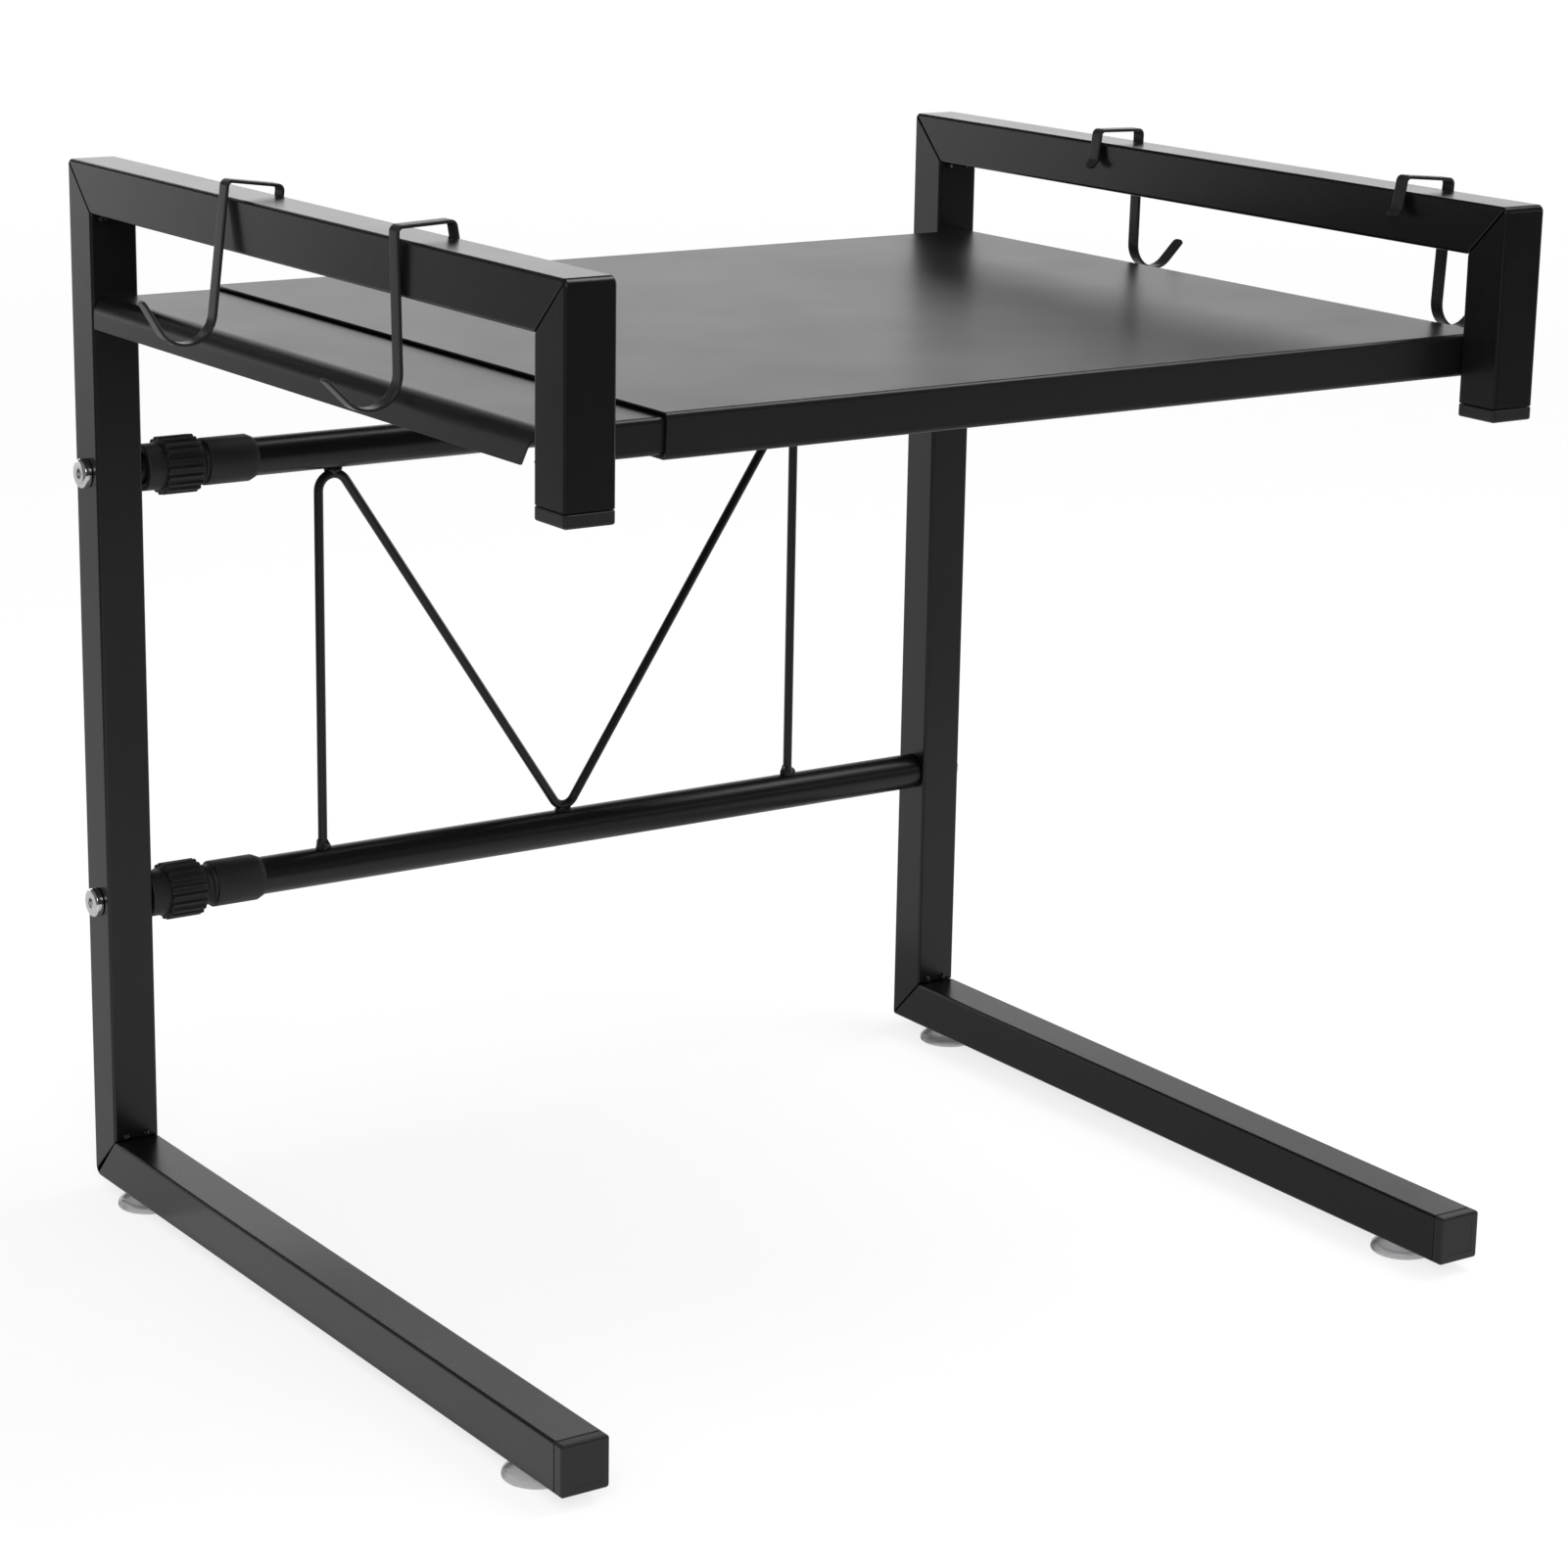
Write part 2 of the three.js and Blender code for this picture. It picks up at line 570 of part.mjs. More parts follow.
// The sleeve fixed on the outer tube's end, with the threaded spigot that the nut runs on.
function lockSleeve() {
  const right = SLEEVE_LEFT + SLEEVE_LENGTH;
  const spigotBevel = SPIGOT_WALL / 2;
  const sleeveBevel = SLEEVE_WALL / 2;
  return turned([
    [SPIGOT_LEFT, TUBE_PASSAGE],
    [SPIGOT_LEFT, SPIGOT_RADIUS - spigotBevel],
    [SPIGOT_LEFT + spigotBevel, SPIGOT_RADIUS],
    [SLEEVE_LEFT, SPIGOT_RADIUS],
    [SLEEVE_LEFT, SLEEVE_RADIUS - sleeveBevel],
    [SLEEVE_LEFT + sleeveBevel, SLEEVE_RADIUS],
    [right - sleeveBevel, SLEEVE_RADIUS],
    [right, SLEEVE_RADIUS - sleeveBevel],
    [right, SLEEVE_BORE],
    [SLEEVE_LEFT + SLEEVE_STOP, SLEEVE_BORE],
    [SLEEVE_LEFT + SLEEVE_STOP, TUBE_PASSAGE],
  ]);
}

// The split ring that the nut presses on the inner tube, carried along the axis by the nut.
function clampRing() {
  const bore = INNER_TUBE / 2 + SEAT;
  const ring = turned([
    [CLAMP_LEFT, bore],
    [CLAMP_LEFT, SPIGOT_RADIUS],
    [CLAMP_RIGHT, SPIGOT_RADIUS - CLAMP_TAPER],
    [CLAMP_RIGHT, bore],
  ]);
  const slit = polygon([
    [CLAMP_LEFT - SEAT, -CLAMP_SLIT / 2],
    [CLAMP_RIGHT + SEAT, -CLAMP_SLIT / 2],
    [CLAMP_RIGHT + SEAT, CLAMP_SLIT / 2],
    [CLAMP_LEFT - SEAT, CLAMP_SLIT / 2],
  ]);
  const slitMiddle = new THREE.Vector3(0, 0, SPIGOT_RADIUS);
  return cut(ring, slab(slit, 2 * SPIGOT_RADIUS, slitMiddle, AXIS_X, AXIS_Y));
}

// The outline of the ribbed stretch of the nut.
function ribOutline() {
  const pitch = (2 * Math.PI) / NUT_RIBS;
  const tip = NUT_ROOT + NUT_RIB;
  const corners = [
    [NUT_ROOT, -RIB_FOOT_SHARE / 2],
    [tip, -RIB_TOP_SHARE / 2],
    [tip, RIB_TOP_SHARE / 2],
    [NUT_ROOT, RIB_FOOT_SHARE / 2],
  ];
  const points = [];
  for (let rib = 0; rib < NUT_RIBS; rib += 1) {
    for (const [radius, share] of corners) {
      const angle = (rib + share) * pitch;
      points.push([radius * Math.cos(angle), radius * Math.sin(angle)]);
    }
  }
  return polygon(points);
}

function lockNut() {
  const left = NUT_LEFT + NOSE_LENGTH;
  const right = left + NUT_LENGTH;
  const chamfer = NUT_EDGE / 2;
  const body = turned([
    [NUT_LEFT, 0],
    [NUT_LEFT, NOSE_RADIUS],
    [left, NOSE_RADIUS],
    [left, NUT_ROOT - chamfer],
    [left + chamfer, NUT_ROOT],
    [right - chamfer, NUT_ROOT],
    [right, NUT_ROOT - chamfer],
    [right, 0],
  ]);
  const ribLength = NUT_LENGTH - 2 * NUT_EDGE;
  const ribMiddle = new THREE.Vector3((left + right) / 2, 0, 0);
  const ribs = slab(ribOutline(), ribLength, ribMiddle, AXIS_Y, AXIS_Z);
  const passage = rod(NUT_LEFT - SEAT, right, TUBE_PASSAGE);
  const thread = rod(left, right + SEAT, NUT_BORE);
  return cut(join(body, ribs), passage, thread);
}

function threadedInsert(left, bore) {
  return rod(left, left + INSERT_LENGTH, bore / 2 - SEAT, SCREW / 2 + SEAT);
}

// A screw with a flat round head that points to +X, with the underside of its head on the plane through zero.
function railScrew() {
  const head = SCREW_HEAD / 2;
  const length = TUBE + 2 * SEAT + SCREW_GRIP;
  const screw = turned([
    [-SCREW_HEAD_HEIGHT, 0],
    ...roundOver([-SCREW_EDGE, head], [-SCREW_HEAD_HEIGHT, SCREW_FLAT]).reverse(),
    [0, head],
    [0, SCREW / 2],
    [length, SCREW / 2],
    [length, 0],
  ]);
  const corner = SOCKET / Math.sqrt(3);
  const hexagon = polygon([0, 1, 2, 3, 4, 5].map((side) => {
    const angle = (side * Math.PI) / 3;
    return [corner * Math.cos(angle), corner * Math.sin(angle)];
  }));
  const socketMiddle = new THREE.Vector3(-SCREW_HEAD_HEIGHT, 0, 0);
  return cut(screw, slab(hexagon, 2 * SOCKET_DEPTH, socketMiddle, AXIS_Y, AXIS_Z));
}

function addRails() {
  for (const [name, { z, turnsOut }] of Object.entries(RAILS)) {
    const onAxis = (piece, finish, geometry, shift = 0) => {
      addPiece(`${name}_${piece}`, finish, geometry).position.set(shift, POST_Y, z);
    };
    onAxis('outer_tube', 'powderCoat', outerTube());
    onAxis('inner_tube', 'powderCoat', innerTube());
    onAxis('guide_bush', 'whitePlastic', guideBush());
    onAxis('lock_sleeve', 'blackPlastic', lockSleeve());
    onAxis('clamp_ring', 'whitePlastic', clampRing(), -turnsOut * THREAD_PITCH);
    onAxis('lock_nut', 'blackPlastic', lockNut(), -turnsOut * THREAD_PITCH);
    onAxis('left_insert', 'zinc', threadedInsert(-POST_INSIDE + SEAT, INNER_BORE));
    onAxis('right_insert', 'zinc', threadedInsert(RIGHT_INSERT_LEFT, RAIL_BORE));
    onAxis('left_screw', 'chrome', railScrew(), -WIDTH / 2 - SEAT);
    onAxis('right_screw', 'chrome', railScrew().rotateZ(Math.PI), WIDTH / 2 + SEAT);
  }
}

// Wire truss

// One wire, up from the lower rail, over a peak, down to the valley, and the same again mirrored.
function trussLine() {
  const crown = RAIL_TUBE / 2 + SEAT;
  const low = RAILS.lower.z + crown;
  const valley = low + WIRE / 2 + TRUSS_FOOT_BEND;
  const peak = RAILS.upper.z - crown - WIRE / 2 - TRUSS_PEAK_BEND;
  const bends = TRUSS_PEAK_BEND + TRUSS_FOOT_BEND;
  const across = TRUSS_SPAN / 2 - TRUSS_PEAK_BEND;
  const rise = peak - valley;
  const slant = Math.acos(bends / Math.hypot(across, rise)) - Math.atan2(rise, across);
  const diagonal = (across - bends * Math.cos(slant)) / Math.sin(slant);
  const degrees = THREE.MathUtils.radToDeg(slant);
  const overPeak = { turn: degrees - 180, radius: TRUSS_PEAK_BEND };
  const throughValley = { turn: 180 - 2 * degrees, radius: TRUSS_FOOT_BEND };
  return bentLine([TRUSS_CENTRE - TRUSS_SPAN / 2, low], 90, [
    { go: peak - low, ...overPeak },
    { go: diagonal, ...throughValley },
    { go: diagonal, ...overPeak },
    { go: peak - low },
  ]);
}

function addTruss() {
  const line = trussLine();
  const section = new THREE.Shape();
  section.absarc(0, 0, WIRE / 2, 0, 2 * Math.PI, false);
  const wire = new THREE.ExtrudeGeometry(section, {
    steps: line.length - 1,
    curveSegments: WIRE_SIDES / 2,
    extrudePath: new BentPath(line, POST_Y),
  });
  addPiece('wire_truss', 'powderCoat', wire);
}

// Strip hooks

// The middle line of a hook across the top rail, outwards to the right, with the rail's top at zero.
function hookLine(lean) {
  const bridge = HOOK_RISE - STRIP / 2;
  const half = TUBE / 2 + HOOK_GRIP + STRIP / 2 - HOOK_CORNER;
  const inner = bentLine([0, bridge], 180, [
    { go: half, turn: 90, radius: HOOK_CORNER },
    { go: HOOK_INNER_LEG, turn: -HOOK_FLARE, radius: HOOK_FLARE_BEND },
    { go: HOOK_FLARE_LENGTH },
  ]);
  const outer = bentLine([0, bridge], 0, [
    { go: half, turn: lean - 90, radius: HOOK_CORNER },
    { go: HOOK_OUTER_LEG, turn: HOOK_CURL_TURN, radius: HOOK_CURL },
    { go: HOOK_TIP },
  ]);
  return [...reversed(inner), ...outer.slice(1)];
}

function addHooks() {
  for (const [name, { side, y, lean }] of Object.entries(HOOKS)) {
    const shape = stripShape(hookLine(lean), STRIP);
    const outwards = new THREE.Vector3(side, 0, 0);
    const hook = slab(shape, STRIP_WIDTH, new THREE.Vector3(), outwards, AXIS_Z);
    addPiece(name, 'blackStrip', hook).position.set(side * FRAME_X, y, FRAME_TOP);
  }
}

for (const [name, side] of [['left', -1], ['right', 1]]) {
  addSideFrame(name, side * FRAME_X);
  addEndCaps(name, side * FRAME_X);
  addFeet(name, side * FRAME_X);
}
addShelf();
addRails();
addTruss();
addHooks();

export default rack;
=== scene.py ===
# Extendable rack that stands over a microwave oven: its fine shapes, finishes, light and camera.
# Metres. +X to the right, -Y to the open front, +Z up. The origin is on the floor under the middle.

import json
import math
from collections import namedtuple

import bmesh
import bpy
from mathutils import Matrix, Vector, noise


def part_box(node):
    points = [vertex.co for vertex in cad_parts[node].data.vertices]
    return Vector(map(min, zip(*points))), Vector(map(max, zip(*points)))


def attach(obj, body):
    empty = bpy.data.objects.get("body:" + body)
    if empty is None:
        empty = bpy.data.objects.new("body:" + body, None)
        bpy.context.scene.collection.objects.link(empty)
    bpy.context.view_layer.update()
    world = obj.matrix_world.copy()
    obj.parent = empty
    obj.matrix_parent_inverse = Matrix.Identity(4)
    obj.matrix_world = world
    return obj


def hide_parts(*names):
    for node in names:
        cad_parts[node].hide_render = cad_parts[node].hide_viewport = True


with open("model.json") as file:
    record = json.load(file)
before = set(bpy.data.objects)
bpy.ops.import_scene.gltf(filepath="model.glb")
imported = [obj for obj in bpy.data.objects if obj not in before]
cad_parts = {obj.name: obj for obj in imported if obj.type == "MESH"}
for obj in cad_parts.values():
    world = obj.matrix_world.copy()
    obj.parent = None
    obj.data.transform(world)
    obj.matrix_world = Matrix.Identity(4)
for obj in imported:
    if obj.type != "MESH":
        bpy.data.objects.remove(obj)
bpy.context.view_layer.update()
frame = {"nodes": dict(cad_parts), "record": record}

MM = 0.001
QUARTER = math.pi / 2
HALF_QUARTER = QUARTER / 2
ROOT_TWO = math.sqrt(2)
MERGE = 0.001 * MM  # points nearer than this are one point
SHARP = math.radians(35)  # edges that turn more than this stay crisp
FACE_WEIGHT = 100  # how far large faces decide the shading of their edges

# Clearances of the frame that no box shows
SEAT = 0.3 * MM
GLIDE = 0.5 * MM

# Square tube of the side frames
TUBE_WALL = 1.2 * MM
TUBE_CORNER = 1.3 * MM
LEAST_CORNER = 0.4 * MM  # rounding of a section that is drawn far in
TUBE_EDGE = 0.22 * MM  # softened edge of a sawn end or slit
CUT_EDGE = 0.12 * MM  # softened edge of a moulded or turned piece
SLIT_START = 0.7 * MM  # skin that stays whole over a fold
FOLD_APPROACH = 3 * MM  # stretch of tube that the rings of a fold are spread over
CORNER_STEPS = 6
FOLD_STEPS = 8

# A folded corner: outside radius, and the width of its slit at the outer and the inner end
Fold = namedtuple("Fold", "radius outer_slit inner_slit")
FOLDS = {
    "left_bottom": Fold(4.4 * MM, 2.2 * MM, 0.3 * MM),
    "left_top": Fold(2.5 * MM, 0.75 * MM, 0.7 * MM),
    "left_front": Fold(2.8 * MM, 0.6 * MM, 0.95 * MM),
    "right_bottom": Fold(1.8 * MM, 0.8 * MM, 0.8 * MM),
    "right_top": Fold(2.2 * MM, 1 * MM, 0.7 * MM),
    "right_front": Fold(2.5 * MM, 0.9 * MM, 0.8 * MM),
}

# Weld tacks in the inside corners, and the surface of all welds
TACK_OFFSETS = (-5 * MM, 4 * MM)  # across the tube, from its middle
TACK_SETBACK = 1.7 * MM  # from the corner along the upright tube
TACK_RADIUS = 1.6 * MM
WELD_UNEVENNESS = 0.35  # share of the radius
WELD_WAVES = 1.7  # of that unevenness, over one radius
WELD_DIVISIONS = 3

# End caps
CAP_FLANGE = 5 * MM
CAP_EDGE = 1 * MM
CAP_BACK_EDGE = 0.35 * MM
CAP_PLUG_WALL = 1.6 * MM
CAP_BORDER = 3.4 * MM  # plain margin of the end face
CAP_SINK = 0.15 * MM  # how far the middle of the end face lies below the margin
ROUND_STEPS = 6

# Suction feet
FOOT_RIM = 2 * MM  # width of the ring that stands on the floor
FOOT_EDGE = 1 * MM  # height of the rim, and rounding of the neck and the head
FOOT_LOWER_EDGE = 0.25 * MM
FOOT_DOME = 3.6 * MM  # rise of the cup above its rim
FOOT_HOLLOW = 2.4 * MM
FOOT_NECK = 6 * MM  # radii of the neck, the stem and the head
FOOT_STEM = 3.2 * MM
FOOT_HEAD = 5 * MM
FOOT_HEAD_HEIGHT = 3 * MM
TURNED_STEPS = 48

# Shelf sheets
SHEET = 1 * MM
SHEET_BEND = 1 * MM
SHEET_EDGE = 0.35 * MM
SHEET_EDGE_STEPS = 2
SHEET_EDGE_TURN = math.radians(50)  # edges that turn more than this are softened
END_BEND = 6 * MM
END_FLANGE_CUT = 8 * MM  # slant of the end flange at its front
SHELF_LIP = 10 * MM
FLANGE_LEAN = 2.5  # degrees that the flanges lean inwards at the bottom
BEND_STEPS = 10  # in a quarter turn

# Round rails and twist locks
RAIL_WALL = 1 * MM
TUBE_END_EDGE = 0.25 * MM
SLEEVE_SHOULDER = 1.5 * MM  # left end of the sleeve to the tube's end inside it
SLEEVE_TAPER = 2.6 * MM  # length of the sleeve's tapered end
SLEEVE_EDGE = 0.45 * MM
SLEEVE_END_WALL = 0.35 * MM
SPIGOT_WALL = 1.75 * MM
THREAD_PITCH = 2.5 * MM
THREAD_DEPTH = 0.7 * MM
THREAD_RINGS = 10  # in one pitch
NUT_RIBS = 20
NUT_RIB = 1.25 * MM
NUT_WALL = 1.85 * MM
NUT_SKIRT = 1.3 * MM  # plain band at the sleeve's end
NUT_SKIRT_STEP = 0.8 * MM
NUT_CHAMFER = 0.6 * MM
RIB_EDGE = 0.35 * MM  # rounding of the ribs' ends
NOSE_LENGTH = 8 * MM
NOSE_WALL = 2.75 * MM
RIB_TOP_SHARE = 0.26  # of half the space from rib to rib
RIB_FOOT_SHARE = 0.62
RIB_STEPS = 14  # points around one rib

# Rail screws
SCREW_SHANK = 3 * MM
SCREW_ROUND = 1.2 * MM  # rounding of the head
SCREW_HEAD_HEIGHT = 3.2 * MM
SOCKET_HALF = 2 * MM
SOCKET_DEPTH = 2 * MM
SOCKET_CONE = 0.6 * MM

# Wire truss
WIRE_STEPS = 20
TRUSS_PEAK_BEND = 7 * MM
TRUSS_FOOT_BEND = 6 * MM
BEND_WELD = (3.6 * MM, 2.9 * MM, 2.4 * MM)  # half sizes along X, Y and Z
FOOT_WELD = (3.3 * MM, 3 * MM, 4.4 * MM)

# Strip hooks
STRIP = 1.3 * MM
STRIP_EDGE = 0.45 * MM
STRIP_EDGE_STEPS = 3
TIP_ROUND = 1.6 * MM
HOOK_GRIP = 0.35 * MM  # room between the strip and the sides of the rail
HOOK_RISE = 5.5 * MM  # top of the bridge above the rail
HOOK_CORNER = 2 * MM
HOOK_INNER_LEG = 10 * MM
HOOK_FLARE = 35  # degrees
HOOK_FLARE_BEND = 2 * MM
HOOK_FLARE_LENGTH = 3.5 * MM

# How a hook is bent: how its bridge slopes and its two legs lean, in degrees away from the rail at their
# lower ends, the spare length at both sides of the bridge, the length of its outer leg, the radius and the
# turn of its curl, and the length of its tip
Bend = namedtuple("Bend", "slope inner_lean outer_lean inner_spare outer_spare leg radius curl tip")
HOOKS = {
    "left_rear_hook": Bend(7.5, -7, 7, 0.9 * MM, 0, 47.5 * MM, 12 * MM, 142, 13 * MM),
    "left_front_hook": Bend(-2.5, 10, -1.2, 0, 1 * MM, 48.5 * MM, 12 * MM, 136, 12 * MM),
    "right_rear_hook": Bend(-1.3, 7, -0.8, 0, 0.6 * MM, 47 * MM, 10.5 * MM, 135, 11 * MM),
    "right_front_hook": Bend(-5, 10, -3.2, 0, 2.7 * MM, 46 * MM, 10.5 * MM, 135, 11 * MM),
}

# Photograph's view
CAMERA_PLACE = Vector((-0.9010, -1.3160, 0.6209))
CAMERA_AZIMUTH = math.radians(34.45)
CAMERA_FALL = math.radians(15.10)
CAMERA_ROLL = math.radians(1.03)
CAMERA_LENS = 93.98  # millimetres
SENSOR_WIDTH = 36  # millimetres

# A grain of a finish: waves in a metre, octaves, and how much each finer octave adds
Grain = namedtuple("Grain", "scale detail roughness")

# Satin black powder coat. Colours are red, green, blue and 1 for full cover
COAT_PEEL = Grain(700, 2, 0.5)
COAT_GRAIN = Grain(3200, 1, 0.5)
COAT_CLOUD = Grain(18, 3, 0.6)
COAT_SPECK = Grain(5200, 0, 0.5)
COAT_TONES = ((0.0040, 0.0039, 0.0041, 1), (0.0056, 0.0054, 0.0056, 1))
SPECK_TONE = (0.02, 0.02, 0.02, 1)
SPECK_FADE = (0.66, 0.74)  # levels of the noise between which a speck comes up
SPECK_SHARE = 0.35  # of its tone that a speck shows
PEEL_SHARE = 0.75  # of the relief; the grain has the rest
COAT_RELIEF = 0.17
COAT_DEPTH = 0.14 * MM
CLOUD_ROUGHNESS = 0.06  # added to the least roughness by the clouds
GRAIN_ROUGHNESS = 0.04  # added by the grain
TUBE_ROUGHNESS = 0.21
SHEET_ROUGHNESS = 0.30
RAIL_ROUGHNESS = 0.28
HARD_IOR = 1.5  # of paint and hard plastic

# The other finishes: the mottle of their tone and gloss, the grain of their relief and the mottle's share
# in it, their darkest and lightest tones, their least roughness and what the mottle adds to it, and the
# strength and depth of the relief
Look = namedtuple("Look", "mottle grain mottle_share tones roughness spread relief depth")
CAP_PLASTIC = Look(
    mottle=Grain(260, 3, 0.6),
    grain=Grain(2400, 2, 0.6),
    mottle_share=0.4,
    tones=((0.008, 0.008, 0.008, 1), (0.0144, 0.0144, 0.0144, 1)),
    roughness=0.30,
    spread=0.16,
    relief=0.22,
    depth=0.10 * MM,
)
# The locks' plastic is the caps' plastic, rougher and with darker tones. The darker tones are painted
# shade, because the locks stand in the shade under the shelf
SHADED_LOCK_PLASTIC = CAP_PLASTIC._replace(
    tones=((0.006, 0.006, 0.006, 1), (0.0108, 0.0108, 0.0108, 1)),
    roughness=0.48,
)
HOOK_PAINT = Look(
    mottle=Grain(90, 3, 0.6),
    grain=Grain(2600, 2, 0.55),
    mottle_share=0,
    tones=((0.012, 0.012, 0.0122, 1), (0.020, 0.0195, 0.0195, 1)),
    roughness=0.28,
    spread=0.10,
    relief=0.14,
    depth=0.08 * MM,
)
SCREW_PLATING = Look(
    mottle=Grain(400, 2, 0.5),
    grain=Grain(1800, 3, 0.6),
    mottle_share=0,
    tones=((0.72, 0.73, 0.74, 1), (0.84, 0.84, 0.84, 1)),
    roughness=0.08,
    spread=0.10,
    relief=0.06,
    depth=0.05 * MM,
)
INSERT_PLATING = Look(
    mottle=Grain(900, 3, 0.7),
    grain=Grain(900, 3, 0.7),
    mottle_share=0,
    tones=((0.33, 0.34, 0.36, 1), (0.50, 0.51, 0.52, 1)),
    roughness=0.32,
    spread=0.2,
    relief=0.2,
    depth=0.05 * MM,
)
BUSH_PLASTIC = Look(
    mottle=Grain(500, 2, 0.5),
    grain=Grain(500, 2, 0.5),
    mottle_share=0,
    tones=((0.62, 0.62, 0.60, 1), (0.72, 0.72, 0.70, 1)),
    roughness=0.45,
    spread=0.15,
    relief=0.1,
    depth=0.05 * MM,
)
# The cups' grey tint is partly the plastic's own milky grey and partly painted shade: it is darker than the
# plastic, to stand in for the shade under the rails
FOOT_PLASTIC_GREYED_FOR_SHADE = Look(
    mottle=Grain(300, 2, 0.5),
    grain=Grain(350, 1, 0.5),
    mottle_share=0,
    tones=((0.48, 0.48, 0.49, 1), (0.56, 0.56, 0.57, 1)),
    roughness=0.10,
    spread=0.08,
    relief=0.04,
    depth=0.08 * MM,
)
FOOT_IOR = 1.45
FOOT_CLEARNESS = 0.85

# Background light: its strength where it is seen, in gloss, and for all other rays
Glow = namedtuple("Glow", "seen in_gloss other")
SURROUND_GLOW = Glow(1, 1.5, 0.55)
FLOOR_GLOW = Glow(0.78, 0.38, 0.38)
FLOOR_SPANS = ((-6, 6), (-6, 6), (0, 0))
FLOOR_FADE = (1.5, 3.5)  # where the floor's own shading gives way to plain white
FLOOR_MOTTLE = Grain(40, 3, 0.6)
FLOOR_TONES = ((0.29, 0.29, 0.29, 1), (0.31, 0.31, 0.31, 1))
WHITE = (1, 1, 1, 1)

# Studio cards that only gloss shows, among them painted shadow, shade and light on the floor: their
# brightness, and their reach along X, Y and Z
Card = namedtuple("Card", "level spans")
WIDE = (-3, 3.5)
TALL = (0, 2.3)
MAT = (0.5 * MM, 0.5 * MM)  # height of a card that lies on the floor
CARDS = {
    "front_card": Card(0.02, (WIDE, (-1.2, -1.2), TALL)),
    "left_card": Card(0.155, ((-0.9, -0.9), (-3, 1.38), TALL)),
    "ceiling_card": Card(0.035, (WIDE, (-1.2, 1.6), (2.3, 2.3))),
    "rear_card": Card(0.035, (WIDE, (1.6, 1.6), (1.1, 2.3))),
    "left_rear_card": Card(0.035, ((-3, -0.35), (1.6, 1.6), (0.5, 1.1))),
    "low_left_card": Card(1, ((-0.03, 0.42), (0.6, 0.6), (0, 0.42))),
    "low_right_card": Card(0.86, ((0.42, 1), (0.6, 0.6), (0, 0.42))),
    # Painted shadow, shade and light on the floor, seen only in gloss. The inner patch is darker than the
    # floor as the rack's shadow, the front patch as the shade in front of it, and the left patch is a
    # brighter pool of light beside the rack
    "inner_floor_painted_shadow": Card(0.32, ((0.11, 0.195), (-0.19, 0.3), MAT)),
    "front_floor_painted_shade": Card(0.3, ((0, 0.9), (-0.7, -0.33), MAT)),
    "left_floor_painted_light": Card(0.76, ((-0.5, -0.225), (-0.25, 0.14), MAT)),
}

# Lamps, all turned to one point: place, width and depth of the lit face, and power in watts
Lamp = namedtuple("Lamp", "place width depth power")
LAMP_TARGET = Vector((0, 0, 0.3))
LAMPS = {
    "overhead_softbox": Lamp(Vector((1, -0.2, 2.1)), 1.2, 1, 15),
    "left_softbox": Lamp(Vector((-0.85, -1.1, 1)), 0.8, 0.6, 7),
    "front_strip": Lamp(Vector((0.75, -1.15, 0.62)), 1.4, 0.08, 0.65),
}

# Pieces inside the rails that keep their CAD solids, at both levels
HIDDEN_PIECES = {
    "guide_bush": "white_plastic",
    "clamp_ring": "white_plastic",
    "left_insert": "zinc",
    "right_insert": "zinc",
}

ALONG_X = Vector((1, 0, 0))
ALONG_Y = Vector((0, 1, 0))
ALONG_Z = Vector((0, 0, 1))

SIDES = ("left", "right")
LEVELS = ("lower", "upper")  # of the rails

BODY_OF = {}
for body, members in frame["record"]["behaviour"]["bodies"].items():
    for member in members:
        BODY_OF[member] = body


# Shader values and finishes

class Value:
    """A socket of a finish. Sums and products of it add Math nodes."""

    def __init__(self, finish, socket):
        self.finish = finish
        self.socket = socket

    def math(self, operation, first, second):
        return self.finish.node("ShaderNodeMath", {"operation": operation}, {0: first, 1: second})

    def __add__(self, other):
        return self.math("ADD", self, other)

    def __radd__(self, other):
        return self.math("ADD", other, self)

    def __sub__(self, other):
        return self.math("SUBTRACT", self, other)

    def __rsub__(self, other):
        return self.math("SUBTRACT", other, self)

    def __mul__(self, other):
        return self.math("MULTIPLY", self, other)

    def __rmul__(self, other):
        return self.math("MULTIPLY", other, self)


